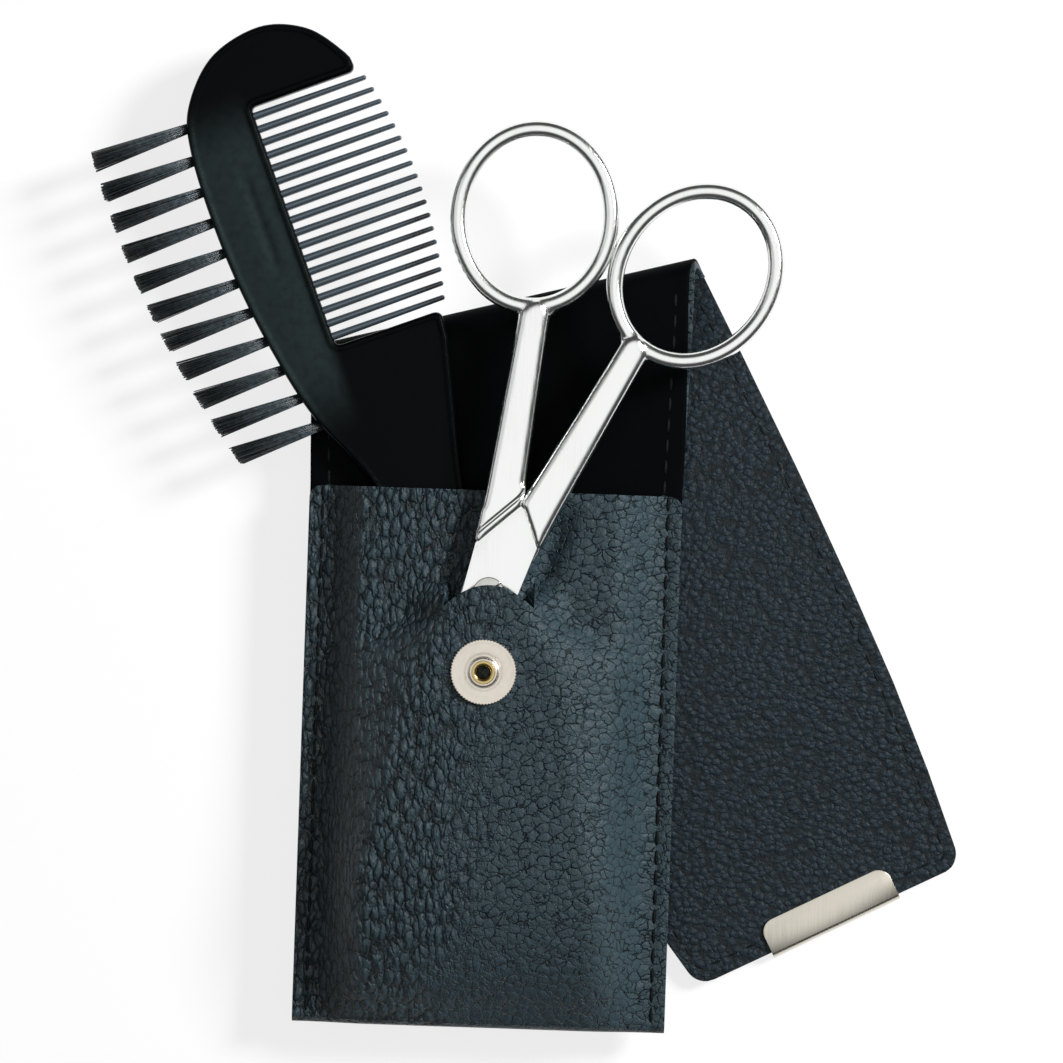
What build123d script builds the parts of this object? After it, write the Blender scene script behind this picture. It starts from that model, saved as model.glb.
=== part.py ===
from build123d import *
import os
from math import cos, pi, radians, sin, tan

# Beard grooming kit: a leather case lying on its back, with a comb-brush and a
# pair of small scissors in its pocket, and its long flap folded under it.
# Millimetres. +Z is up from the table, +Y runs from the pocket's bottom to its
# mouth, and the origin is the middle of the footprint, on the table.

os.makedirs("parts", exist_ok=True)

# Place of the pocket's bottom centre in the part's frame
CASE_X = -5.18
CASE_Y = -83.58

# The leather strip: grained leather with a smooth lining glued to it
LEATHER = 1.3
LINING = 0.5
STRIP = LEATHER + LINING

# The case in plan, from the pocket's bottom centre
CASE_WIDTH = 62.5
FOLD_WIDTH = 64.2
MOUTH_Y = 90.1
SEAM = 3.5
BOTTOM_ROUND = 0.8
LAY = 0.3

# The fold above the back panel, where the strip turns under as the flap
FOLD_Y = 122.05
FOLD_SLOPE = 14.8
FOLD_GAP = 3.0
FOLD_OUTER = STRIP + FOLD_GAP / 2
FOLD_INNER = FOLD_GAP / 2
HINGE_GAP = 0.2

# Heights in the stack, from the table up
BACK_Z = STRIP + FOLD_GAP
LINING_Z = BACK_Z + LEATHER
FLOOR_Z = BACK_Z + STRIP

# The flap, measured from the fold's lower tangent line along its axis
FLAP_LENGTH = 115.5
FLAP_HALF_WIDTHS = ((45, 30.7), (84, 28.4))
FLAP_END_HALF = 24.4
FLAP_END_SKEW = 2.4
FLAP_CORNER = 3.0
FLAP_FLAT = 9.0
SOCKET_AT = 62.0
CLIP_LIFT = 0.5

# The nickel clip on the flap's end
CLIP_LENGTH = 23.6
CLIP_DEPTH = 5.3
CLIP_SHEET = 0.45
CLIP_CORNER = 2.4
CLIP_SHIFT = 0.8
CLIP_FIT = 0.05

# The press stud
SNAP_Y = 60.0
SNAP_X = -1.0
STUD_FLANGE_R = 5.5
STUD_FLANGE_T = 0.5
STUD_NUB_R = 2.5
STUD_WAIST_R = 2.1
STUD_HEIGHT = 1.9
EYELET_FLANGE_R = 4.0
EYELET_FLANGE_T = 0.3
EYELET_R = 1.4
EYELET_BORE_R = 1.05
EYELET_LIP_R = 1.9
SOCKET_R = 5.5
SOCKET_H = 2.4
SOCKET_TOP = 0.5
SOCKET_SAG = 0.15
SOCKET_BORE_R = 2.9
SPRING_WIRE_R = 0.22
CAP_R = 5.5
CAP_T = 0.4
POST_R = 1.5
FIT = 0.05

# The comb-brush, in its own frame: x towards the comb teeth, y along it to its
# round end, origin at the lower end of the line of tooth roots
COMB_AT = (-28.5, 115.7)
COMB_LEAN = 21.6
COMB_T = 3.4
COMB_ROOM = 0.6
COMB_RIM = 1.3
COMB_FIELD = 0.4
SPINE_BULGE_X = -12.6
SPINE_BULGE_Y = 24.0
SPINE_CURVE = 0.0038
WINDOW_TOP = 39.85
WINDOW_BASE = -2.5
SPINE_MARKS = (-12.0, 0.0, 12.0, 24.0, 36.0)
NECK = (-2.1, -26.2)
CROWN = ((-9.9, 43.4), (-3.4, 50.1), (5.8, 52.2), (13.3, 49.3), (17.9, 43.4))
CROWN_INSETS = ((-0.9, 0.3), (-0.4, 0.9), (0.0, 1.0), (0.5, 0.9), (1.0, 0.2))
BEAK = ((18.6, 40.9), (18.3, 40.1))
BEAK_X = 17.6
SHOULDER = ((19.0, -4.1), (16.4, -14.3), (12.4, -31.0))
TOOTH_COUNT = 18
TOOTH_PITCH = 2.3
TOOTH_ROOT_W = 1.33
TOOTH_TIP_W = 0.7
TOOTH_ROOT_T = 2.6
TOOTH_TIP_T = 1.1
TOOTH_REACH = 22.35
TOOTH_MID_Y = 18.8
TOOTH_CURVE = 0.00675
HANDLE_W = 12.6
HANDLE_X = 5.3
HANDLE_TOP = -40.0
HANDLE_END = -66.0

# Its bristle tufts, on the other edge of the spine
TUFT_COUNT = 11
TUFT_PITCH = 5.43
TUFT_TOP_Y = 40.2
TUFT_R = 0.8
TUFT_SEAT = 2.4
TUFT_REACH = -28.35
TUFT_MID_Y = 29.0
TUFT_CURVE = 0.0033
TUFT_SPREAD = 1.75
STRAND_RINGS = (6, 12, 18)
STRAND_W = 0.17
STAPLE_T = 0.5

# The scissors, in their own frame: y along them to the finger rings, origin at
# the pivot
SCISSORS_AT = (-0.6, 73.0)
SCISSORS_LEAN = 18.1
HALF_T = 1.5
HALF_GAP = 0.05
RING_X = 14.2
RING_Y = 61.3
RING_LONG = 14.8
RING_SHORT = 12.7
RING_LEAN = 15.3
RING_WIRE_R = 1.1
SHANK_T = 2.5
SHANK_GAP = 0.2
BLADE_LENGTH = 48.0
GROOVE_W = 0.35
GROOVE_DEPTH = 0.2
GROOVE_X = -2.4
GROOVE_Y = 11.5
GROOVE_STEP = 1.3
GROOVE_ANGLE = 59.5
SCREW_HEAD_R = 2.65
SCREW_HEAD_T = 0.8
SCREW_PROUD = 0.1
SCREW_R = 1.5
SCREW_SLOT = 0.8
SCREW_SLOT_ANGLE = 53.0

# The slit that the scissors go through, above the press stud
SLIT_X = -0.5
SLIT_HALF = 7.5
SLIT_TOP_Y = 74.4
SLIT_END_Y = 70.7

# Heights that follow from the stack
COMB_Z = FLOOR_Z + LAY
UPPER_IN = COMB_Z + COMB_T + COMB_ROOM
UPPER_OUT = UPPER_IN + LEATHER
SCISSORS_Z = UPPER_OUT + LAY
UPPER_HALF_Z = SCISSORS_Z + HALF_T + HALF_GAP
SCISSORS_TOP = UPPER_HALF_Z + HALF_T
SCISSORS_MID = (SCISSORS_Z + SCISSORS_TOP) / 2
LOWER_IN = SCISSORS_TOP + SCREW_PROUD + LAY
LOWER_OUT = LOWER_IN + LEATHER
EDGE_OUT = FLOOR_Z + LEATHER
SEAM_X = CASE_WIDTH / 2 - SEAM

# The pocket front's cross-sections: distance from the bottom, the ledge's half
# width, the top's half width, and the top's height
LEDGE_SHARE = 0.46
LEDGE_EASE = 0.9
MOUTH_LEDGE_X = SEAM_X - 3.75
SEAM_EASE = 0.4
INNER_START = 1.3
POCKET_SECTIONS = (
    (0.0, SEAM_X - 1.55, SEAM_X - 3.15, EDGE_OUT + 0.6),
    (2.5, SEAM_X - 1.95, SEAM_X - 4.35, EDGE_OUT + 3.2),
    (7.0, SEAM_X - 2.35, SEAM_X - 5.55, LOWER_OUT - 3.4),
    (14.0, SEAM_X - 2.65, SEAM_X - 6.55, LOWER_OUT - 0.9),
    (24.0, SEAM_X - 2.75, SEAM_X - 7.25, LOWER_OUT),
    (SNAP_Y, SEAM_X - 2.75, SEAM_X - 7.25, LOWER_OUT),
    (SNAP_Y + 7.0, SEAM_X - 3.25, SLIT_HALF + 6.0, LOWER_OUT),
    (SLIT_TOP_Y, MOUTH_LEDGE_X, SLIT_HALF + 0.3, LOWER_OUT),
)
INNER_SECTIONS = ((INNER_START,) + POCKET_SECTIONS[0][1:],) + POCKET_SECTIONS[1:]

# Directions and lines that follow from the fold
SLOPE = radians(FOLD_SLOPE)
FLAP_TURN = 2 * FOLD_SLOPE
TANGENT_Y = FOLD_Y - FOLD_OUTER / cos(SLOPE)
FOLD_MID_R = FOLD_OUTER - STRIP / 2
FOLD_SHIFT = pi * FOLD_MID_R * tan(SLOPE)
FLAP_X = CASE_X + FOLD_SHIFT * cos(SLOPE)
FLAP_Y = CASE_Y + TANGENT_Y + FOLD_SHIFT * sin(SLOPE)


# Planes that the pieces are drawn on
def turned(x, y, z, angle):
    """A level plane at x, y, z, with its x axis turned by an angle from +X."""
    a = radians(angle)
    return Plane(origin=(x, y, z), x_dir=(cos(a), sin(a), 0))


def case_plane(z):
    """The case's plane: x across it, y from its bottom to its mouth."""
    return Plane(origin=(CASE_X, CASE_Y, z))


def flap_plane(z):
    """The flap's plane: its axis is y, which points back to the fold."""
    return turned(FLAP_X, FLAP_Y, z, FLAP_TURN)


def comb_plane(z):
    """The comb's plane."""
    return turned(CASE_X + COMB_AT[0], CASE_Y + COMB_AT[1], z, COMB_LEAN)


def scissors_plane(z):
    """The scissors' plane."""
    return turned(CASE_X + SCISSORS_AT[0], CASE_Y + SCISSORS_AT[1], z, -SCISSORS_LEAN)


def cross_plane(y):
    """An upright plane across the case at y, with its own y axis up."""
    return Plane(origin=(CASE_X, CASE_Y + y, 0), x_dir=(1, 0, 0), z_dir=(0, -1, 0))


def side_plane(level_plane, x_sign=-1):
    """An upright plane along a level plane's y axis: x is y times x_sign."""
    return Plane(
        origin=level_plane.origin,
        x_dir=level_plane.y_dir * x_sign,
        z_dir=level_plane.x_dir * x_sign,
    )


fold_frame = turned(CASE_X, CASE_Y + TANGENT_Y, 0, FOLD_SLOPE)


# Back panel: leather below, smooth lining above, cut off along the fold
def back_layer(z, thickness):
    """One layer of the back panel, from the pocket's bottom to the fold."""
    half, fold_half = CASE_WIDTH / 2, FOLD_WIDTH / 2
    rise = fold_half * tan(SLOPE)
    with BuildSketch(case_plane(z)) as outline:
        with BuildLine():
            Polyline(
                (-half, 0),
                (half, 0),
                (half, MOUTH_Y),
                (fold_half, TANGENT_Y + rise),
                (-fold_half, TANGENT_Y - rise),
                (-half, MOUTH_Y),
                close=True,
            )
        make_face()
    extrude(outline.sketch, amount=thickness)


with BuildPart() as back_panel:
    back_layer(BACK_Z, LEATHER)
    bottom_edge = back_panel.edges().group_by(Axis.Z)[0].sort_by(Axis.Y)[0]
    fillet(bottom_edge, BOTTOM_ROUND)
back_panel.part.label = "back_panel"
export_step(back_panel.part, "parts/back_panel.step")

with BuildPart() as back_lining:
    back_layer(LINING_Z, LINING)
back_lining.part.label = "back_lining"
export_step(back_lining.part, "parts/back_lining.step")


# The fold: half a tube wall along the fold line, its ends slanted because the
# strip's edges run on round the bend
def fold_layer(inner_r, outer_r):
    """One layer of the fold, between two radii about the fold's axis."""
    bend = Plane(
        origin=fold_frame.origin + Vector(0, 0, FOLD_OUTER),
        x_dir=fold_frame.y_dir,
        z_dir=fold_frame.x_dir,
    )
    end = FOLD_WIDTH / 2 / cos(SLOPE)
    with BuildSketch(bend) as wall:
        with BuildLine():
            CenterArc((0, 0), outer_r, -90, 180)
            Line((0, outer_r), (0, inner_r))
            CenterArc((0, 0), inner_r, -90, 180)
            Line((0, -inner_r), (0, -outer_r))
        make_face()
    extrude(wall.sketch, amount=FOLD_WIDTH, both=True)
    with BuildSketch(Plane(fold_frame.origin, fold_frame.x_dir, -fold_frame.y_dir)) as ends:
        with BuildLine():
            Polyline(
                (-end, FLOOR_Z),
                (end, FLOOR_Z),
                (end + FOLD_SHIFT, 0),
                (-end + FOLD_SHIFT, 0),
                close=True,
            )
        make_face()
    extrude(ends.sketch, amount=2 * FOLD_OUTER, both=True, mode=Mode.INTERSECT)


with BuildPart() as fold_leather:
    fold_layer(FOLD_INNER, FOLD_INNER + LEATHER)
fold_leather.part.label = "fold_leather"
export_step(fold_leather.part, "parts/fold_leather.step")

with BuildPart() as fold_lining:
    fold_layer(FOLD_INNER + LEATHER, FOLD_OUTER)
fold_lining.part.label = "fold_lining"
export_step(fold_lining.part, "parts/fold_lining.step")


# Pocket front: high over the scissors' blades, low between the slit and the
# mouth, flat along the seams
def rise_curve(side, start_x, start_z, end_x, end_z, ease):
    """An S-curve up from the seam, level at both ends, on one side of the pocket."""
    return Bezier(
        (side * start_x, start_z),
        (side * (start_x - ease), start_z),
        (side * (end_x + ease), end_z),
        (side * end_x, end_z),
    )


def pocket_section(y, ledge_x, bump_x, top, drop=0.0):
    """A cross-section of the pocket: seam, rise to a ledge, rise to the top.

    drop is the leather's thickness on the inner surface, and 0 on the outer one.
    """
    ledge = min(UPPER_OUT, EDGE_OUT + (top - EDGE_OUT) * LEDGE_SHARE) - drop
    high = top - drop
    edge = EDGE_OUT - drop
    foot = FLOOR_Z - drop
    outer_x = SEAM_X if drop else CASE_WIDTH / 2
    with BuildSketch(cross_plane(y)) as section:
        with BuildLine():
            Line((-outer_x, foot), (outer_x, foot))
            for side in (1, -1):
                if drop:
                    Line((side * SEAM_X, foot), (side * SEAM_X, edge))
                else:
                    Polyline((side * outer_x, foot), (side * outer_x, edge), (side * SEAM_X, edge))
                rise_curve(side, SEAM_X, edge, ledge_x, ledge, (SEAM_X - ledge_x) * SEAM_EASE)
                rise_curve(side, ledge_x, ledge, bump_x, high, LEDGE_EASE)
            Line((bump_x, high), (-bump_x, high))
        make_face()
    return section.sketch


def mouth_section(drop=0.0):
    """The pocket's cross-section between the slit and the mouth."""
    outer_x = SEAM_X if drop else CASE_WIDTH / 2
    edge = EDGE_OUT - drop
    foot = FLOOR_Z - drop
    high = UPPER_OUT - drop
    with BuildSketch(cross_plane(SLIT_END_Y)) as section:
        with BuildLine():
            Line((-outer_x, foot), (outer_x, foot))
            for side in (1, -1):
                if drop:
                    Line((side * SEAM_X, foot), (side * SEAM_X, edge))
                else:
                    Polyline((side * outer_x, foot), (side * outer_x, edge), (side * SEAM_X, edge))
                rise_curve(side, SEAM_X, edge, MOUTH_LEDGE_X, high, (SEAM_X - MOUTH_LEDGE_X) * SEAM_EASE)
            Line((MOUTH_LEDGE_X, high), (-MOUTH_LEDGE_X, high))
        make_face()
    return section.sketch


def slit_corners():
    """The area beside the slit's arc, below the line through its top."""
    with BuildSketch(case_plane(FLOOR_Z)) as area:
        with BuildLine():
            ThreePointArc(
                (SLIT_X - SLIT_HALF, SLIT_END_Y), (SLIT_X, SLIT_TOP_Y), (SLIT_X + SLIT_HALF, SLIT_END_Y)
            )
            Polyline(
                (SLIT_X + SLIT_HALF, SLIT_END_Y),
                (SLIT_X + SLIT_HALF, SLIT_TOP_Y + FIT),
                (SLIT_X - SLIT_HALF, SLIT_TOP_Y + FIT),
                (SLIT_X - SLIT_HALF, SLIT_END_Y),
            )
        make_face()
    return area.sketch


with BuildPart() as mouth_leather:
    mouth_run = MOUTH_Y - SLIT_END_Y
    extrude(mouth_section(), amount=-mouth_run)
    extrude(mouth_section(drop=LEATHER), amount=-mouth_run, mode=Mode.SUBTRACT)
    with BuildSketch(case_plane(FLOOR_Z)) as kept:
        with Locations((0, (SLIT_TOP_Y + MOUTH_Y) / 2)):
            Rectangle(CASE_WIDTH, MOUTH_Y - SLIT_TOP_Y)
        add(slit_corners())
    extrude(kept.sketch, amount=LOWER_OUT - FLOOR_Z, mode=Mode.INTERSECT)


def snap_plane(z):
    """A level plane on the press stud's axis."""
    return Plane(origin=(CASE_X + SNAP_X, CASE_Y + SNAP_Y, z))


def disc(plane, radius, height, mode=Mode.ADD):
    """A round disc or hole on a plane."""
    with BuildSketch(plane) as circle:
        Circle(radius)
    extrude(circle.sketch, amount=height, mode=mode)


with BuildPart() as pocket_front:
    loft([pocket_section(*row) for row in POCKET_SECTIONS], ruled=True)
    loft(
        [pocket_section(*row, drop=LEATHER) for row in INNER_SECTIONS],
        ruled=True,
        mode=Mode.SUBTRACT,
    )
    extrude(slit_corners(), amount=LOWER_OUT, mode=Mode.SUBTRACT)
    add(mouth_leather.part)
    disc(snap_plane(LOWER_IN), EYELET_FLANGE_R + FIT, EYELET_FLANGE_T + FIT, Mode.SUBTRACT)
    disc(snap_plane(LOWER_IN), EYELET_R + FIT, 2 * LEATHER, Mode.SUBTRACT)
pocket_front.part.label = "pocket_front"
export_step(pocket_front.part, "parts/pocket_front.step")


# Press stud and its eyelet, turned about the snap's axis
def turned_profile(plane):
    """An upright plane through a level plane's origin, for a profile that is turned."""
    return Plane(origin=plane.origin, x_dir=plane.x_dir, z_dir=-plane.y_dir)


with BuildPart() as snap_stud:
    stud_bore = EYELET_R + FIT
    with BuildSketch(turned_profile(snap_plane(LOWER_OUT))) as profile:
        with BuildLine():
            Polyline(
                (STUD_NUB_R, STUD_HEIGHT - 0.3),
                (STUD_NUB_R - 0.3, STUD_HEIGHT),
                (stud_bore + 0.4, STUD_HEIGHT),
                (stud_bore, STUD_HEIGHT - 0.4),
                (stud_bore, 0),
                (STUD_FLANGE_R, 0),
                (STUD_FLANGE_R, STUD_FLANGE_T * 0.6),
                (STUD_FLANGE_R - 0.3, STUD_FLANGE_T),
                (STUD_NUB_R + 0.6, STUD_FLANGE_T),
                (STUD_WAIST_R, STUD_FLANGE_T + 0.3),
                (STUD_WAIST_R, STUD_FLANGE_T + 0.6),
                (STUD_NUB_R, STUD_FLANGE_T + 0.9),
                close=True,
            )
        make_face()
    revolve(profile.sketch, axis=Axis(snap_plane(LOWER_OUT).origin, (0, 0, 1)))
snap_stud.part.label = "snap_stud"
export_step(snap_stud.part, "parts/snap_stud.step")

with BuildPart() as snap_eyelet:
    eyelet_top = LEATHER + STUD_HEIGHT
    with BuildSketch(turned_profile(snap_plane(LOWER_IN))) as profile:
        with BuildLine():
            Polyline(
                (EYELET_BORE_R, 0),
                (EYELET_FLANGE_R, 0),
                (EYELET_FLANGE_R, EYELET_FLANGE_T),
                (EYELET_R, EYELET_FLANGE_T),
                (EYELET_R, eyelet_top - 0.4),
                (EYELET_LIP_R, eyelet_top + FIT),
                (EYELET_LIP_R - 0.25, eyelet_top + 0.3),
                (EYELET_BORE_R, eyelet_top - 0.1),
                close=True,
            )
        make_face()
    revolve(profile.sketch, axis=Axis(snap_plane(LOWER_IN).origin, (0, 0, 1)))
snap_eyelet.part.label = "snap_eyelet"
export_step(snap_eyelet.part, "parts/snap_eyelet.step")


# The flap: leather over lining, arched over the snap socket under it
def flap_outline():
    """The flap in plan, from the fold to its narrower end."""
    half = FOLD_WIDTH / 2
    start = half * tan(SLOPE)
    gap = HINGE_GAP / cos(SLOPE)
    skew = radians(FLAP_END_SKEW)
    end_x, end_y = FLAP_END_HALF * cos(skew), FLAP_END_HALF * sin(skew)
    with BuildSketch(flap_plane(0)) as outline:
        with BuildLine():
            Line((-half, start - gap), (half, -start - gap))
            for side, rise in ((1, -1), (-1, 1)):
                Spline(
                    (side * half, -side * start - gap),
                    *[(side * width, -at) for at, width in FLAP_HALF_WIDTHS],
                    (side * end_x, rise * end_y - FLAP_LENGTH),
                )
            Line((end_x, -end_y - FLAP_LENGTH), (-end_x, end_y - FLAP_LENGTH))
        make_face()
        fillet(outline.vertices().sort_by(Axis.Y)[:2], FLAP_CORNER)
    return outline.sketch


def arch_layer(z, thickness):
    """One layer of the flap's arch: level by the fold and at the clip, high over the socket."""
    flat_end = FLAP_LENGTH - 2 * CLIP_DEPTH
    run_out = FLAP_LENGTH + CLIP_DEPTH
    side = side_plane(flap_plane(0))
    with BuildSketch(side) as profile:
        with BuildLine():
            for level in (z, z + thickness):
                Line((-2 * FLAP_FLAT, level), (FLAP_FLAT, level))
                Spline(
                    (FLAP_FLAT, level),
                    (SOCKET_AT, level + SOCKET_H),
                    (flat_end, level + CLIP_LIFT),
                    tangents=((1, 0), (1, 0)),
                )
                Line((flat_end, level + CLIP_LIFT), (run_out, level + CLIP_LIFT))
            Line((-2 * FLAP_FLAT, z), (-2 * FLAP_FLAT, z + thickness))
            Line((run_out, z + CLIP_LIFT), (run_out, z + CLIP_LIFT + thickness))
        make_face()
    extrude(profile.sketch, amount=FOLD_WIDTH, both=True)
    extrude(flap_outline(), amount=BACK_Z, mode=Mode.INTERSECT)


def socket_plane(z):
    """A level plane on the snap socket's axis."""
    level = flap_plane(z)
    return Plane(origin=level.from_local_coords(Vector(0, -SOCKET_AT, 0)), x_dir=level.x_dir)


cap_z = SOCKET_H + LINING

with BuildPart() as flap_lining:
    arch_layer(0, LINING)
    disc(socket_plane(0), POST_R + FIT, BACK_Z, Mode.SUBTRACT)
flap_lining.part.label = "flap_lining"
export_step(flap_lining.part, "parts/flap_lining.step")

with BuildPart() as flap_leather:
    arch_layer(LINING, LEATHER)
    disc(socket_plane(0), CAP_R + FIT, cap_z + CAP_T + 2 * FIT, Mode.SUBTRACT)
flap_leather.part.label = "flap_leather"
export_step(flap_leather.part, "parts/flap_leather.step")

with BuildPart() as snap_socket:
    socket_roof = SOCKET_H - SOCKET_TOP - FIT
    with BuildSketch(turned_profile(socket_plane(0))) as profile:
        with BuildLine():
            Polyline(
                (SOCKET_BORE_R, 0),
                (SOCKET_R - 0.6, 0),
                (SOCKET_R, 0.6),
                (SOCKET_R, SOCKET_H - SOCKET_SAG),
                (POST_R + FIT, SOCKET_H - SOCKET_SAG),
                (POST_R + FIT, socket_roof),
                (SOCKET_BORE_R + 0.5, socket_roof),
                (SOCKET_BORE_R + 0.5, 0.5),
                (SOCKET_BORE_R, 0.4),
                close=True,
            )
        make_face()
    revolve(profile.sketch, axis=Axis(socket_plane(0).origin, (0, 0, 1)))
snap_socket.part.label = "snap_socket"
export_step(snap_socket.part, "parts/snap_socket.step")

with BuildPart() as snap_spring:
    coil_r = SOCKET_BORE_R + 0.5 - SPRING_WIRE_R - FIT
    with BuildLine(socket_plane(0.5 + SPRING_WIRE_R + FIT)) as coil:
        CenterArc((0, 0), coil_r, 20, 320)
    with BuildSketch(Plane(origin=coil.line @ 0, z_dir=coil.line % 0)) as wire:
        Circle(SPRING_WIRE_R)
    sweep(wire.sketch, path=coil.line)
snap_spring.part.label = "snap_spring"
export_step(snap_spring.part, "parts/snap_spring.step")

with BuildPart() as snap_cap:
    disc(socket_plane(cap_z + FIT), CAP_R, CAP_T)
    disc(socket_plane(cap_z + 2 * FIT), POST_R, -(cap_z - SOCKET_TOP - 1.0))
    disc(socket_plane(SOCKET_H - SOCKET_TOP - 2 * FIT), POST_R + 0.5, -0.3)
snap_cap.part.label = "snap_cap"
export_step(snap_cap.part, "parts/snap_cap.step")

# Clip: a folded strip of sheet over the flap's end, its upper corners rounded
flap_end = flap_plane(0).from_local_coords(Vector(0, -FLAP_LENGTH, 0))
clip_level = turned(flap_end.X, flap_end.Y, 0, FLAP_TURN - FLAP_END_SKEW)

with BuildPart() as edge_clip:
    clip_low = CLIP_LIFT - CLIP_FIT
    clip_high = CLIP_LIFT + STRIP + CLIP_FIT
    mid_z = (clip_low + clip_high) / 2
    roll = (clip_high - clip_low) / 4
    with BuildSketch(side_plane(clip_level)) as profile:
        for grow, mode in ((CLIP_SHEET, Mode.ADD), (0, Mode.SUBTRACT)):
            high, low = clip_high + grow, clip_low - grow
            with BuildLine():
                Line((-CLIP_DEPTH, high), (CLIP_FIT, high))
                ThreePointArc((CLIP_FIT, high), (CLIP_FIT + roll + grow, mid_z), (CLIP_FIT, low))
                Polyline((CLIP_FIT, low), (-CLIP_DEPTH, low), (-CLIP_DEPTH, high))
            make_face(mode=mode)
    extrude(profile.sketch, amount=CLIP_LENGTH / 2 + CLIP_SHIFT, both=True)
    left, right = CLIP_SHIFT - CLIP_LENGTH / 2, CLIP_SHIFT + CLIP_LENGTH / 2
    with BuildSketch(clip_level) as plan:
        with BuildLine():
            FilletPolyline(
                (left, -2 * CLIP_DEPTH),
                (left, CLIP_DEPTH),
                (right, CLIP_DEPTH),
                (right, -2 * CLIP_DEPTH),
                radius=CLIP_CORNER,
            )
            Line((left, -2 * CLIP_DEPTH), (right, -2 * CLIP_DEPTH))
        make_face()
    extrude(plan.sketch, amount=BACK_Z, mode=Mode.INTERSECT)
edge_clip.part.label = "edge_clip"
export_step(edge_clip.part, "parts/edge_clip.step")


# Comb-brush: spine, comb teeth and handle are moulded in one
comb_mid = COMB_Z + COMB_T / 2


def spine_edge(y):
    """The brush edge's x at y: a long shallow bulge."""
    return SPINE_BULGE_X + SPINE_CURVE * (y - SPINE_BULGE_Y) ** 2


def comb_outline(inset=0.0):
    """The frame in plan without its teeth, or its field, set in from the rim."""
    left, right = HANDLE_X - HANDLE_W / 2 + inset, HANDLE_X + HANDLE_W / 2 - inset
    end_y = HANDLE_END + HANDLE_W / 2
    top, base, front = WINDOW_TOP + inset, WINDOW_BASE - inset, BEAK_X - inset
    brush_edge = [(spine_edge(y) + inset, y) for y in SPINE_MARKS]
    crown = [(x - inset * dx, y - inset * dy) for (x, y), (dx, dy) in zip(CROWN, CROWN_INSETS)]
    beak = [(BEAK[0][0] - inset, BEAK[0][1] + 0.4 * inset), (BEAK[1][0] - inset, BEAK[1][1] + inset)]
    shoulder = [(x - inset, y) for x, y in SHOULDER]
    shoulder[0] = (shoulder[0][0], shoulder[0][1] - 0.6 * inset)
    with BuildSketch(comb_plane(COMB_Z)) as outline:
        with BuildLine():
            Spline(
                (left, HANDLE_TOP),
                (NECK[0] + inset, NECK[1]),
                *brush_edge,
                *crown,
                beak[0],
                tangents=((0, 1), (0.1, -1)),
            )
            ThreePointArc(beak[0], beak[1], (front, top))
            Polyline((front, top), (-inset, top), (-inset, base), (front, base))
            Spline(
                (front, base),
                *shoulder,
                (right, HANDLE_TOP),
                tangents=((1, 0), (0, -1)),
            )
            Line((right, HANDLE_TOP), (right, end_y))
            ThreePointArc((right, end_y), (HANDLE_X, HANDLE_END + inset), (left, end_y))
            Line((left, end_y), (left, HANDLE_TOP))
        make_face()
    return outline.sketch


def teeth():
    """The comb teeth in plan: tapered, with their tips on a shallow curve."""
    with BuildSketch(comb_plane(comb_mid)) as rows:
        for number in range(TOOTH_COUNT):
            y = (number - (TOOTH_COUNT - 1) / 2) * TOOTH_PITCH + TOOTH_MID_Y
            tip = TOOTH_REACH - TOOTH_CURVE * (y - TOOTH_MID_Y) ** 2
            half, tip_half = TOOTH_ROOT_W / 2, TOOTH_TIP_W / 2
            with BuildLine():
                Polyline(
                    (tip - tip_half, y - tip_half),
                    (-1, y - half),
                    (-1, y + half),
                    (tip - tip_half, y + tip_half),
                )
                ThreePointArc((tip - tip_half, y + tip_half), (tip, y), (tip - tip_half, y - tip_half))
            make_face()
    return rows.sketch


def tooth_taper():
    """The teeth seen from their side: a long wedge."""
    side = Plane(origin=comb_plane(0).origin, x_dir=comb_plane(0).x_dir, z_dir=-comb_plane(0).y_dir)
    with BuildSketch(side) as wedge:
        with BuildLine():
            Polyline(
                (-2, comb_mid - TOOTH_ROOT_T / 2),
                (TOOTH_REACH + 1, comb_mid - TOOTH_TIP_T / 2),
                (TOOTH_REACH + 1, comb_mid + TOOTH_TIP_T / 2),
                (-2, comb_mid + TOOTH_ROOT_T / 2),
                close=True,
            )
        make_face()
    return wedge.sketch


def tuft_plane(number, depth=0.0):
    """An upright plane on a tuft's root, facing out of the spine's edge."""
    y = TUFT_TOP_Y - number * TUFT_PITCH
    level = comb_plane(comb_mid)
    return Plane(
        origin=level.from_local_coords(Vector(spine_edge(y) + depth, y, 0)),
        x_dir=level.y_dir,
        z_dir=-level.x_dir,
    )


with BuildPart() as comb_teeth:
    extrude(teeth(), amount=TOOTH_ROOT_T, both=True)
    extrude(tooth_taper(), amount=2 * WINDOW_TOP, both=True, mode=Mode.INTERSECT)

with BuildPart() as comb_frame:
    extrude(comb_outline(), amount=COMB_T)
    field = comb_outline(COMB_RIM)
    extrude(field, amount=COMB_FIELD, mode=Mode.SUBTRACT)
    extrude(field.moved(Location((0, 0, COMB_T))), amount=-COMB_FIELD, mode=Mode.SUBTRACT)
    add(comb_teeth.part)
    for number in range(TUFT_COUNT):
        disc(tuft_plane(number, TUFT_SEAT + STAPLE_T), TUFT_R + FIT, 2 * COMB_T, Mode.SUBTRACT)
comb_frame.part.label = "comb_frame"
export_step(comb_frame.part, "parts/comb_frame.step")


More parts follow.
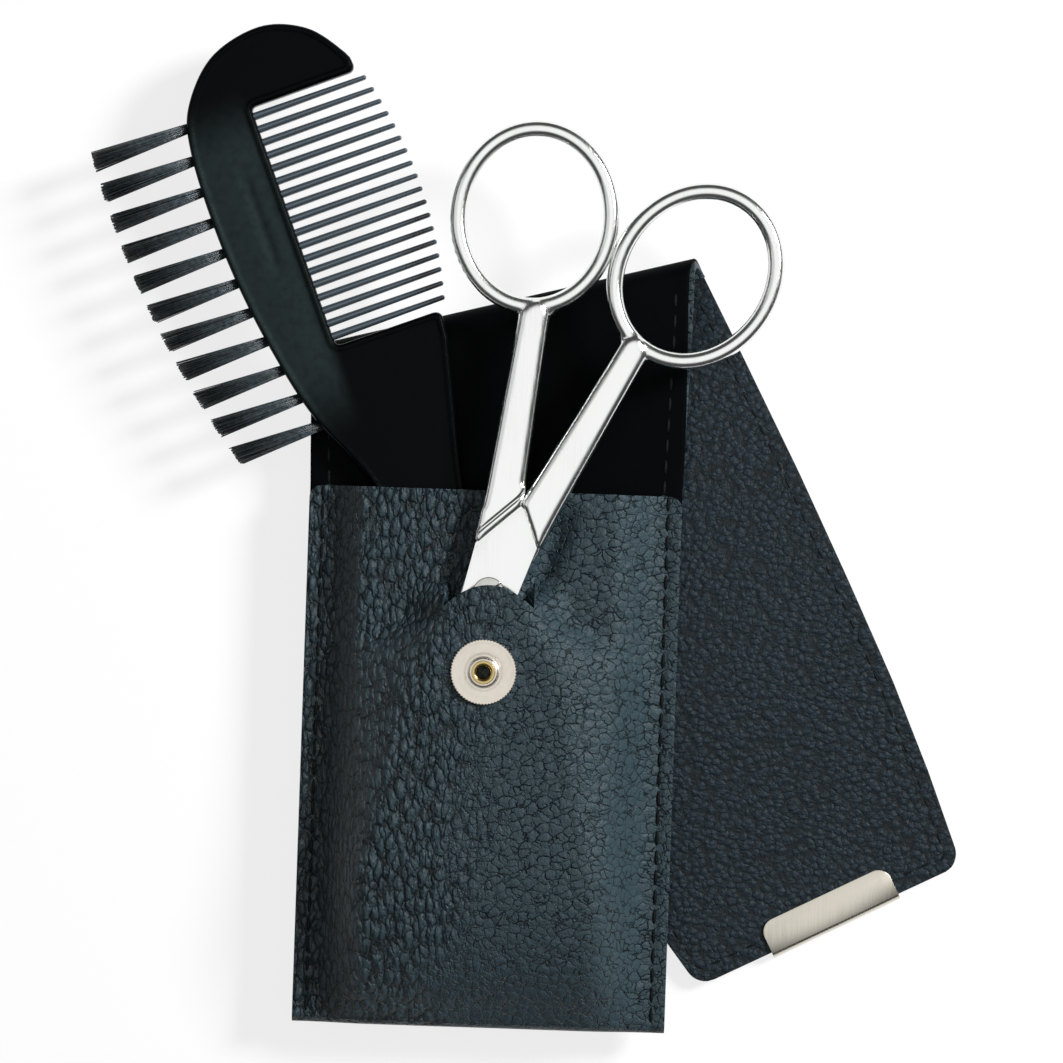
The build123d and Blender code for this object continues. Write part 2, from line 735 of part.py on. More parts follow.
# Bristle tufts: strands fanned out from a short plug in the spine's edge
def strand(number, ring_r, angle):
    """One straight four-sided strand, cut off on the tufts' common curve."""
    root = tuft_plane(number, FIT)
    across, up = ring_r * cos(angle), ring_r * sin(angle)
    tip_y = TUFT_TOP_Y - number * TUFT_PITCH + across * TUFT_SPREAD
    tip_x = TUFT_REACH + TUFT_CURVE * (tip_y - TUFT_MID_Y) ** 2
    run = spine_edge(TUFT_TOP_Y - number * TUFT_PITCH) - tip_x
    start = root.from_local_coords(Vector(across, up, 0))
    end = root.from_local_coords(Vector(across * TUFT_SPREAD, up * TUFT_SPREAD, run))
    face = Face.make_rect(STRAND_W, STRAND_W, Plane(start, root.x_dir, root.z_dir))
    return Solid.extrude(face, end - start)


for number in range(TUFT_COUNT):
    strands = [strand(number, 0, 0)]
    for ring, count in enumerate(STRAND_RINGS, 1):
        ring_r = (TUFT_R - STRAND_W) * ring / len(STRAND_RINGS)
        strands += [strand(number, ring_r, 2 * pi * (turn + ring / 2) / count) for turn in range(count)]
    with BuildPart() as tuft:
        disc(tuft_plane(number, TUFT_SEAT), TUFT_R, TUFT_SEAT)
        add(strands)
    name = f"bristle_tuft_{number + 1:02d}"
    tuft.part.label = name
    export_step(tuft.part, f"parts/{name}.step")

with BuildPart() as tuft_staples:
    for number in range(TUFT_COUNT):
        with BuildSketch(tuft_plane(number, TUFT_SEAT + STAPLE_T)) as staple:
            Rectangle(TUFT_R, TUFT_R * 1.6)
        extrude(staple.sketch, amount=STAPLE_T)
tuft_staples.part.label = "tuft_staples"
export_step(tuft_staples.part, "parts/tuft_staples.step")


# Scissors: side is -1 for the half with the left ring, 1 for the right one
def blade_outline(side):
    """Blade and joint area in plan: half of the scissors' thickness."""
    with BuildSketch(scissors_plane(0)) as outline:
        with BuildLine():
            Polyline(
                (side * 4.3, -0.5),
                (side * 5.0, 8.0),
                (side * 5.7, 13.0),
                (side * 0.5, 19.0),
                (side * 0.2, 15.6),
                (-side * 0.7, 15.15),
                (-side * 4.94, 9.8),
                (-side * 4.6, 1.5),
            )
            Spline(
                (-side * 4.6, 1.5),
                (-side * 4.3, -12.0),
                (-side * 2.9, -32.0),
                (0, -BLADE_LENGTH),
            )
            Polyline((0, -BLADE_LENGTH), (side * 0.9, -BLADE_LENGTH + 9), (side * 1.9, -9), (side * 4.3, -0.5))
        make_face()
    return outline.sketch


def shank_outline(side):
    """Shank in plan, from the joint area to the ring."""
    with BuildSketch(scissors_plane(SCISSORS_MID)) as outline:
        with BuildLine():
            Polyline(
                (side * 5.2, 10.0),
                (side * 0.9, 15.4),
                (side * SHANK_GAP, 16.2),
                (side * 6.76, 46.9),
                (side * 8.9, 48.2),
                (side * 10.87, 45.6),
                (side * 6.1, 16.4),
                close=True,
            )
        make_face()
    return outline.sketch


def ring(side):
    """Finger ring: round wire along an oval that leans outwards."""
    with BuildLine(scissors_plane(SCISSORS_MID)) as oval:
        EllipticalCenterArc(
            (side * RING_X, RING_Y), RING_LONG, RING_SHORT, 0, arc_size=360, rotation=90 - side * RING_LEAN
        )
    with BuildSketch(Plane(origin=oval.line @ 0, z_dir=oval.line % 0)) as wire:
        Circle(RING_WIRE_R)
    sweep(wire.sketch, path=oval.line)


def scissors_half(side, z):
    """One half of the scissors, with its blade's underside at z."""
    extrude(shank_outline(side), amount=SCISSORS_TOP - SCISSORS_MID, both=True)
    rails = [e for e in edges().filter_by(Axis.Z, reverse=True) if e.length > 25]
    fillet(rails, 1.0)
    ring(side)
    blade = blade_outline(side).moved(Location((0, 0, z)))
    extrude(blade, amount=HALF_T)


with BuildPart() as scissors_upper_half:
    scissors_half(-1, UPPER_HALF_Z)
    disc(scissors_plane(UPPER_HALF_Z), SCREW_R + FIT, HALF_T, Mode.SUBTRACT)
    disc(
        scissors_plane(SCISSORS_TOP + SCREW_PROUD - SCREW_HEAD_T - FIT),
        SCREW_HEAD_R + FIT,
        SCREW_HEAD_T,
        Mode.SUBTRACT,
    )
    for step in (0, 1):
        with BuildSketch(scissors_plane(SCISSORS_TOP)) as groove:
            with Locations((GROOVE_X, GROOVE_Y - GROOVE_STEP * step)):
                Rectangle(BLADE_LENGTH / 3, GROOVE_W, rotation=GROOVE_ANGLE)
        extrude(groove.sketch, amount=-GROOVE_DEPTH, mode=Mode.SUBTRACT)
scissors_upper_half.part.label = "scissors_upper_half"
export_step(scissors_upper_half.part, "parts/scissors_upper_half.step")

with BuildPart() as scissors_lower_half:
    scissors_half(1, SCISSORS_Z)
    disc(scissors_plane(SCISSORS_Z), SCREW_R, HALF_T, Mode.SUBTRACT)
scissors_lower_half.part.label = "scissors_lower_half"
export_step(scissors_lower_half.part, "parts/scissors_lower_half.step")

with BuildPart() as pivot_screw:
    head_z = SCISSORS_TOP + SCREW_PROUD - SCREW_HEAD_T
    disc(scissors_plane(SCISSORS_Z), SCREW_R, head_z - SCISSORS_Z)
    disc(scissors_plane(head_z), SCREW_HEAD_R, SCREW_HEAD_T)
    with BuildSketch(scissors_plane(head_z + SCREW_HEAD_T)) as slot:
        Rectangle(3 * SCREW_HEAD_R, SCREW_SLOT, rotation=SCREW_SLOT_ANGLE)
    extrude(slot.sketch, amount=-SCREW_HEAD_T / 2, mode=Mode.SUBTRACT)
pivot_screw.part.label = "pivot_screw"
export_step(pivot_screw.part, "parts/pivot_screw.step")
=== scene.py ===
import logging
import math
from collections.abc import Callable, Sequence
from dataclasses import dataclass
from enum import Enum

import bmesh
import bpy
import numpy as np
from mathutils import Matrix, Vector
from mathutils.geometry import delaunay_2d_cdt


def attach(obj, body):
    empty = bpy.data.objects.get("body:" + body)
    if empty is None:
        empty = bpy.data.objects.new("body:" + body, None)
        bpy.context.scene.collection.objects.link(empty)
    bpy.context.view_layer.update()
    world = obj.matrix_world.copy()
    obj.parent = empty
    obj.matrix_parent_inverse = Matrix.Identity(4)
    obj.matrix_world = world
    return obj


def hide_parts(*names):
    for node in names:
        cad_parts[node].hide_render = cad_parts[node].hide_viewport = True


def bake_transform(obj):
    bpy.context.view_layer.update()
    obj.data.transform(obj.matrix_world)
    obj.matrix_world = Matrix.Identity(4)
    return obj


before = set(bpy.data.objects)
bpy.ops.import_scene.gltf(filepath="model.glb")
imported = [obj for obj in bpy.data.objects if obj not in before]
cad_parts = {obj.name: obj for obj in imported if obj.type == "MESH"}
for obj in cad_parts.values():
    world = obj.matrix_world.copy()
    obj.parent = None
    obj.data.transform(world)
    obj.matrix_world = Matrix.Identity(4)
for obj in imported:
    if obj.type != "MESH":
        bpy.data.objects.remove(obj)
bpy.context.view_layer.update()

MM = 0.001
log = logging.getLogger("grooming_kit")

Grid = np.ndarray
Outline = Sequence[tuple[float, float]]
Piece = bpy.types.Object
Tree = bpy.types.NodeTree
Source = bpy.types.Node | bpy.types.NodeSocket
Sizes = dict[str, int | float | Vector]


# Places and small helpers
@dataclass(frozen=True)
class Place:
    """Attributes:
        turn: Turn of its x axis, in degrees.
    """

    x: float
    y: float
    turn: float = 0.0

    def at(self, x: Grid | float, y: Grid | float, z: Grid | float) -> Grid:
        """Args:
            x: Across, in mm.
            y: Along, in mm.
            z: Height over the table, in mm.

        Returns:
            The places, with x, y and z as the last axis.
        """
        a = math.radians(self.turn)
        x, y, z = np.broadcast_arrays(*(np.asarray(v, float) for v in (x, y, z)))
        east = self.x + x * math.cos(a) - y * math.sin(a)
        north = self.y + x * math.sin(a) + y * math.cos(a)
        return np.stack((east, north, z), axis=-1) * MM

    def vector(self, x: float, y: float, z: float) -> Vector:
        """One place in this frame, as a vector in metres."""
        return Vector(self.at(x, y, z))


class Body(Enum):
    POUCH = "pouch"
    FLAP = "flap"
    LOWER_HALF = "scissors_lower"
    UPPER_HALF = "scissors_upper"
    COMB = "comb"


# The strip's fold runs slanted across it. Its line is where the upper face of
# the back panel ends and the bend begins, and the flap lies turned by twice the slope.
# FOLD_OUTER and FOLD_MID are the bend's outer and middle radius, and FOLD_END its far
# edge from the pocket's bottom, along the case's middle.
SLOPE = math.radians(14.8)
FOLD_OUTER = 3.3
FOLD_MID = 2.4
FOLD_END = 122.05
CASE = Place(-5.18, -83.58)
TANGENT_Y = FOLD_END - FOLD_OUTER / math.cos(SLOPE)
FOLD_SHIFT = math.pi * FOLD_MID * math.tan(SLOPE)
FOLD = Place(CASE.x, CASE.y + TANGENT_Y, math.degrees(SLOPE))
FLAP = Place(
    CASE.x + FOLD_SHIFT * math.cos(SLOPE),
    CASE.y + TANGENT_Y + FOLD_SHIFT * math.sin(SLOPE),
    2 * math.degrees(SLOPE),
)
COMB = Place(CASE.x - 28.5, CASE.y + 115.7, 21.6)
SCISSORS = Place(CASE.x - 0.6, CASE.y + 73.0, -18.1)


def past_fold(spot: Grid) -> float:
    """How far a place, given in mm, lies beyond the line of the fold."""
    return (spot[1] - FOLD.y) * math.cos(SLOPE) - (spot[0] - FOLD.x) * math.sin(SLOPE)


def ease(t: Grid | float) -> Grid:
    """A smooth step from 0 to 1, level at both ends."""
    t = np.clip(t, 0.0, 1.0)
    return t * t * (3.0 - 2.0 * t)


def ripple(x: Grid, y: Grid, wave: float, seed: int) -> Grid:
    """Slow, uneven waves between about -1 and 1, the same on each run.

    Args:
        x: Across, in mm.
        y: Along, in mm.
        wave: Length of a wave, in mm.
        seed: Which pattern.

    Returns:
        The waves' height at each place.
    """
    rng = np.random.default_rng(seed)
    total = np.zeros(np.broadcast(x, y).shape)
    for _ in range(7):
        a, phase = rng.uniform(0, math.pi), rng.uniform(0, 2 * math.pi)
        rate = 2 * math.pi / (wave * rng.uniform(0.7, 1.6))
        total += np.sin((x * math.cos(a) + y * math.sin(a)) * rate + phase)
    return total / 4.0


# Meshes
def new_mesh(name: str, points: Grid, faces: Sequence[Sequence[int]]) -> Piece:
    """Makes an object from points and faces.

    Args:
        name: The piece's name.
        points: Places in metres, one row each.
        faces: The points of each face.

    Returns:
        The new object, at the origin.
    """
    mesh = bpy.data.meshes.new(name)
    rows = [tuple(p) for p in np.asarray(points).reshape(-1, 3)]
    mesh.from_pydata(rows, [], [list(f) for f in faces])
    mesh.validate()
    piece = bpy.data.objects.new(name, mesh)
    bpy.context.scene.collection.objects.link(piece)
    return piece


def grid_faces(rows: int, columns: int, first: int = 0) -> list[tuple[int, int, int, int]]:
    """Faces of a grid of points that is stored row by row.

    Args:
        rows: Number of rows.
        columns: Number of points in a row.
        first: Number of the grid's first point.

    Returns:
        Four points for each face, turned to face up where rows run along +y.
    """
    return [
        (a, a + 1, a + columns + 1, a + columns)
        for r in range(rows - 1)
        for a in range(first + r * columns, first + (r + 1) * columns - 1)
    ]


def edit(piece: Piece, work: Callable[[bmesh.types.BMesh], None]) -> None:
    """Runs some mesh work on a piece.

    Args:
        piece: The piece.
        work: Changes its mesh in place.
    """
    mesh = bmesh.new()
    mesh.from_mesh(piece.data)
    work(mesh)
    mesh.to_mesh(piece.data)
    mesh.free()


def applied(piece: Piece, *steps: tuple[str, dict[str, object]]) -> Piece:
    """Adds modifiers to a piece one after another, and keeps their result as its mesh.

    Args:
        piece: The piece to finish.
        steps: Each modifier's kind and settings.

    Returns:
        The same piece, with a plain mesh.
    """
    for kind, settings in steps:
        modifier = piece.modifiers.new(kind.title(), kind)
        for key, value in settings.items():
            setattr(modifier, key, value)
    bpy.context.view_layer.update()
    graph = bpy.context.evaluated_depsgraph_get()
    mesh = bpy.data.meshes.new_from_object(
        piece.evaluated_get(graph), preserve_all_data_layers=True, depsgraph=graph
    )
    piece.modifiers.clear()
    piece.data = mesh
    mesh.name = piece.name
    return piece


def smooth(piece: Piece, angle: float = 40.0) -> Piece:
    """Shades a piece smoothly, apart from its sharp edges.

    Args:
        piece: The piece.
        angle: Edges sharper than this stay sharp, in degrees.

    Returns:
        The same piece.
    """
    piece.data.shade_smooth()
    piece.data.set_sharp_from_angle(angle=math.radians(angle))
    return piece


def dress(piece: Piece, body: Body, finish: "Finish", nodes: Sequence[str] = ()) -> Piece:
    """Gives a finished piece its material, its body and the nodes that it stands for.

    Args:
        piece: The piece.
        body: The body that it rides on.
        finish: Its finish.
        nodes: CAD nodes that it replaces.

    Returns:
        The same piece.
    """
    piece.data.materials.clear()
    piece.data.materials.append(finish.material())
    if nodes:
        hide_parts(*nodes)
    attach(piece, body.value)
    return piece


def sheet_of_leather(
    name: str, points: Grid, faces: Sequence[Sequence[int]], thickness: float,
    plain: Callable[[Grid], bool] = lambda spot: False, round_mm: float = 0.3,
) -> Piece:
    """Makes a sheet with a real thickness and softly rounded cut edges.

    Args:
        name: The piece's name.
        points: Its outer surface.
        faces: The surface's faces, facing outwards.
        thickness: In mm, laid on behind the surface.
        plain: Tells where a place is on a joint line, whose edge stays square.
        round_mm: Rounding of the cut edges.

    Returns:
        The sheet.
    """
    piece = new_mesh(name, points, faces)
    edit(piece, lambda m: bmesh.ops.remove_doubles(m, verts=m.verts, dist=0.01 * MM))
    applied(piece, ("SOLIDIFY", {"thickness": thickness * MM, "offset": -1.0, "use_rim": True}))

    def mark(mesh: bmesh.types.BMesh) -> None:
        """Marks the cut edges, apart from those on a joint line, for rounding.

        Args:
            mesh: The sheet.
        """
        weight = mesh.edges.layers.float.new("bevel_weight_edge")
        mesh.normal_update()
        for edge in mesh.edges:
            if len(edge.link_faces) == 2 and edge.calc_face_angle() > math.radians(55):
                middle = (edge.verts[0].co + edge.verts[1].co) / 2
                edge[weight] = 0.0 if plain(np.array(middle) / MM) else 1.0

    edit(piece, mark)
    applied(piece, ("BEVEL", {"width": round_mm * MM, "segments": 2, "limit_method": "WEIGHT"}))
    return smooth(piece, 50)


def from_node(node: str, name: str, soften: float = 0.0, angle: float = 30.0) -> Piece:
    """Copies a CAD node's mesh, joins its loose faces and softens its edges.

    Args:
        node: The CAD node.
        name: The new piece's name.
        soften: Width of the softened edges, in mm.
        angle: Edges sharper than this are softened.

    Returns:
        The new piece.
    """
    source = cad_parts[node]
    piece = bpy.data.objects.new(name, source.data.copy())
    bpy.context.scene.collection.objects.link(piece)
    piece.data.materials.clear()

    def join(mesh: bmesh.types.BMesh) -> None:
        """Joins the loose triangles and melts those that lie in one plane."""
        bmesh.ops.remove_doubles(mesh, verts=mesh.verts, dist=0.002 * MM)
        bmesh.ops.dissolve_limit(mesh, angle_limit=math.radians(0.5), verts=mesh.verts, edges=mesh.edges)

    edit(piece, join)
    if soften:
        applied(piece, ("BEVEL", {
            "width": soften * MM, "segments": 2, "limit_method": "ANGLE", "angle_limit": math.radians(angle),
        }))
    return smooth(piece, angle)


def smooth_line(points: Outline, step: float) -> Grid:
    """An even curve through some points.

    Args:
        points: The points, in mm.
        step: Distance between the curve's points, in mm.

    Returns:
        The curve's points.
    """
    p = np.asarray(points, float)
    p = np.vstack((2 * p[0] - p[1], p, 2 * p[-1] - p[-2]))
    line = []
    for a, b, c, d in zip(p, p[1:], p[2:], p[3:]):
        t = np.linspace(0, 1, max(2, round(np.linalg.norm(c - b) / step)), endpoint=False)[:, None]
        bend, twist = 2 * a - 5 * b + 4 * c - d, 3 * b - a - 3 * c + d
        line.append(0.5 * (2 * b + (c - a) * t + bend * t ** 2 + twist * t ** 3))
    return np.vstack(line + [p[-2][None, :]])


def rounded_corner(
    before: Sequence[float], corner: Sequence[float], after: Sequence[float], radius: float
) -> Grid:
    """Points of a rounded corner between two straight runs.

    Args:
        before: A point on the run before the corner.
        corner: The sharp corner.
        after: A point on the run after it.
        radius: How far back from the corner the rounding starts, in mm.

    Returns:
        The rounding's points.
    """
    c = np.asarray(corner, float)
    a, b = (np.asarray(q, float) - c for q in (before, after))
    a, b = c + a / np.linalg.norm(a) * radius, c + b / np.linalg.norm(b) * radius
    t = np.linspace(0, 1, 7)[:, None]
    return a * (1 - t) ** 2 + 2 * c * t * (1 - t) + b * t ** 2


def distance_to(line: Grid, x: Grid, y: Grid) -> Grid:
    """Distance of each place from a closed line.

    Args:
        line: The line's points.
        x: Across, in mm.
        y: Along, in mm.

    Returns:
        The distances, below zero outside the line.
    """
    a, b = line, np.roll(line, -1, axis=0)
    q = np.stack((x.ravel(), y.ravel()), axis=1)
    best = np.full(len(q), 1e9)
    inside = np.zeros(len(q), bool)
    for s, e in zip(a, b):
        run = e - s
        t = np.clip(((q - s) @ run) / max(run @ run, 1e-12), 0, 1)
        best = np.minimum(best, np.linalg.norm(q - s - t[:, None] * run, axis=1))
        if s[1] != e[1]:
            crossing = (e[0] - s[0]) * (q[:, 1] - s[1]) / (e[1] - s[1]) + s[0]
            inside ^= ((s[1] > q[:, 1]) != (e[1] > q[:, 1])) & (q[:, 0] < crossing)
    return np.where(inside, best, -best).reshape(x.shape)


def inset_line(line: Grid, by: float) -> Grid:
    """A closed line, moved inwards.

    Args:
        line: The line's points, drawn clockwise, in mm.
        by: How far, in mm.

    Returns:
        The moved points.
    """
    run = np.roll(line, -1, axis=0) - line
    side = np.stack((run[:, 1], -run[:, 0]), axis=1) / np.maximum(np.linalg.norm(run, axis=1), 1e-9)[:, None]
    both = side + np.roll(side, 1, axis=0)
    both /= np.maximum(np.linalg.norm(both, axis=1), 1e-9)[:, None]
    lean = np.clip(np.sum(both * side, axis=1), 0.6, 1.0)
    return line + both / lean[:, None] * by


def moulded_plate(
    name: str, place: Place, line: Grid, middle: float, rim: Outline,
    height: Callable[[Grid, Grid, Grid], Grid], step: float,
) -> Piece:
    """A plate with a rounded edge whose two faces follow a height.

    Args:
        name: The piece's name.
        place: Its frame.
        line: Its outline, drawn clockwise, in mm.
        middle: Height of its middle, in mm.
        rim: Inset and half thickness of each loop of the edge, from outside.
        height: Half thickness for x, y and the distance from the outline.
        step: Distance between the faces' points, in mm.

    Returns:
        The plate.
    """
    loops = [inset_line(line, inset) for inset, _ in rim]
    inner = loops[-1]
    low, high = inner.min(axis=0), inner.max(axis=0)
    gx, gy = np.meshgrid(np.arange(low[0], high[0], step), np.arange(low[1], high[1], step * 0.87))
    gx[1::2] += step / 2
    keep = distance_to(inner, gx, gy) > step * 0.45
    cloud = np.vstack((inner, np.stack((gx[keep], gy[keep]), axis=1)))
    count = len(inner)
    ring = [(i, (i + 1) % count) for i in range(count)]
    places, _, faces, *_ = delaunay_2d_cdt([Vector(p) for p in cloud], ring, [], 1, 1e-6)
    flat = np.array([tuple(p) for p in places])
    depth = np.maximum(distance_to(line, flat[:, 0], flat[:, 1]), rim[-1][0])
    half = height(flat[:, 0], flat[:, 1], depth)
    half[:count] = rim[-1][1]
    points, mesh_faces, first = [], [], 0
    for sign in (1, -1):
        for loop, (_, thick) in zip(loops[:-1], rim[:-1]):
            points.append(place.at(loop[:, 0], loop[:, 1], middle + sign * thick))
        points.append(place.at(flat[:, 0], flat[:, 1], middle + sign * half))
        for level in range(len(rim) - 1):
            base = first + level * count
            for i, j in ring:
                quad = (base + i, base + j, base + count + j, base + count + i)
                mesh_faces.append(quad[::-1] if sign > 0 else quad)
        base = first + (len(rim) - 1) * count
        for face in faces:
            mesh_faces.append([base + i for i in (face if sign > 0 else face[::-1])])
        first = base + len(flat)
    under = (len(rim) - 1) * count + len(flat)
    mesh_faces += [(i, j, under + j, under + i) for i, j in ring]
    piece = new_mesh(name, np.vstack(points), mesh_faces)
    edit(piece, lambda m: bmesh.ops.recalc_face_normals(m, faces=m.faces))
    return smooth(piece, 60)


def turned_piece(
    name: str, place: Place, centre: tuple[float, float, float], profile: Outline, count: int = 96,
    milling: tuple[int, float, float] = (0, 0.0, 0.0),
) -> Piece:
    """A piece turned about an upright axis.

    Args:
        name: The piece's name.
        place: The frame of its axis.
        centre: Place of the axis, and the height that the profile starts from, in mm.
        profile: Closed outline of radius and height, in mm.
        count: Number of steps round it.
        milling: Number of notches in its rim, their depth, and the radius that they start at.

    Returns:
        The piece.
    """
    (x, y, base), (notches, depth, start) = centre, milling
    angle = np.linspace(0, 2 * math.pi, count, endpoint=False)
    points = []
    for radius, z in profile:
        cut = depth * (0.5 + 0.5 * np.cos(angle * notches)) ** 2 if radius >= start and notches else 0.0
        east, north = (radius - cut) * np.cos(angle), (radius - cut) * np.sin(angle)
        points.append(place.at(x + east, y + north, base + z))
    faces = []
    for r in range(len(profile)):
        a, b = r * count, (r + 1) % len(profile) * count
        faces += [(a + i, a + (i + 1) % count, b + (i + 1) % count, b + i) for i in range(count)]
    piece = new_mesh(name, np.vstack(points), faces)
    edit(piece, lambda m: bmesh.ops.recalc_face_normals(m, faces=m.faces))
    return smooth(piece, 35)


# Node trees
def linear(code: str) -> tuple[float, float, float, float]:
    """Turns an sRGB hex value into a linear colour."""
    parts = [int(code[i:i + 2], 16) / 255 for i in (1, 3, 5)]
    return tuple(c / 12.92 if c <= 0.04045 else ((c + 0.055) / 1.055) ** 2.4 for c in parts) + (1.0,)


def put(
    tree: Tree, kind: str, links: dict[object, object] | None = None, **settings: object
) -> bpy.types.Node:
    """Adds a node with its settings, values and links.

    Args:
        tree: The tree that gets the node.
        kind: The node's type.
        links: For each input, a value, the socket that feeds it, or the node whose first
            output does. A list feeds several into one input.
        settings: The node's own settings.

    Returns:
        The new node.
    """
    node = tree.nodes.new(kind)
    for key, value in settings.items():
        setattr(node, key, value)
    for key, value in (links or {}).items():
        for source in value if isinstance(value, list) else [value]:
            if isinstance(source, bpy.types.Node):
                source = source.outputs[0]
            if isinstance(source, bpy.types.NodeSocket):
                tree.links.new(source, node.inputs[key])
            else:
                node.inputs[key].default_value = source
    return node


@dataclass(frozen=True)
class Finish:
    """A surface finish, which makes its material once.

    Attributes:
        name: Name of its material: what the real one is, and how it was made.
        color: Its base colour.
        roughness: Roughness of its gloss.
        gloss: Strength of its gloss.
        metallic: 1 for a metal, otherwise 0.
    """

    name: str
    color: str
    roughness: float
    gloss: float = 0.5
    metallic: float = 0.0

    def material(self) -> bpy.types.Material:
        """The finish's material, made on first use.

        Returns:
            The material.
        """
        found = bpy.data.materials.get(self.name)
        if found:
            return found
        made = bpy.data.materials.new(self.name)
        made.use_nodes = True
        tree = made.node_tree
        tree.nodes.clear()
        shader = put(tree, "ShaderNodeBsdfPrincipled", {
            "Roughness": self.roughness, "Base Color": linear(self.color),
            "Specular IOR Level": self.gloss, "Metallic": self.metallic,
        })
        put(tree, "ShaderNodeOutputMaterial", {"Surface": shader})
        for socket, source in self.pattern(tree).items():
            tree.links.new(source.outputs[0], shader.inputs[socket])
        return made

    def pattern(self, tree: Tree) -> dict[str, bpy.types.Node]:
        """Draws the finish's pattern; a plain finish has none.

        Args:
            tree: The material's tree.

        Returns:
            The node that feeds each of the shader's inputs.
        """
        return {}


def place_nodes(tree: Tree, turn: float = 0.0, stretch: Sequence[float] = (1, 1, 1)) -> bpy.types.Node:
    """Object coordinates, turned about +Z and stretched.

    Args:
        tree: The material's tree.
        turn: Turn in degrees.
        stretch: Scale along each turned axis.

    Returns:
        The node with the coordinates, in metres.
    """
    return put(tree, "ShaderNodeMapping", {
        "Vector": put(tree, "ShaderNodeTexCoord").outputs["Object"],
        "Rotation": (0, 0, -math.radians(turn)), "Scale": stretch,
    })


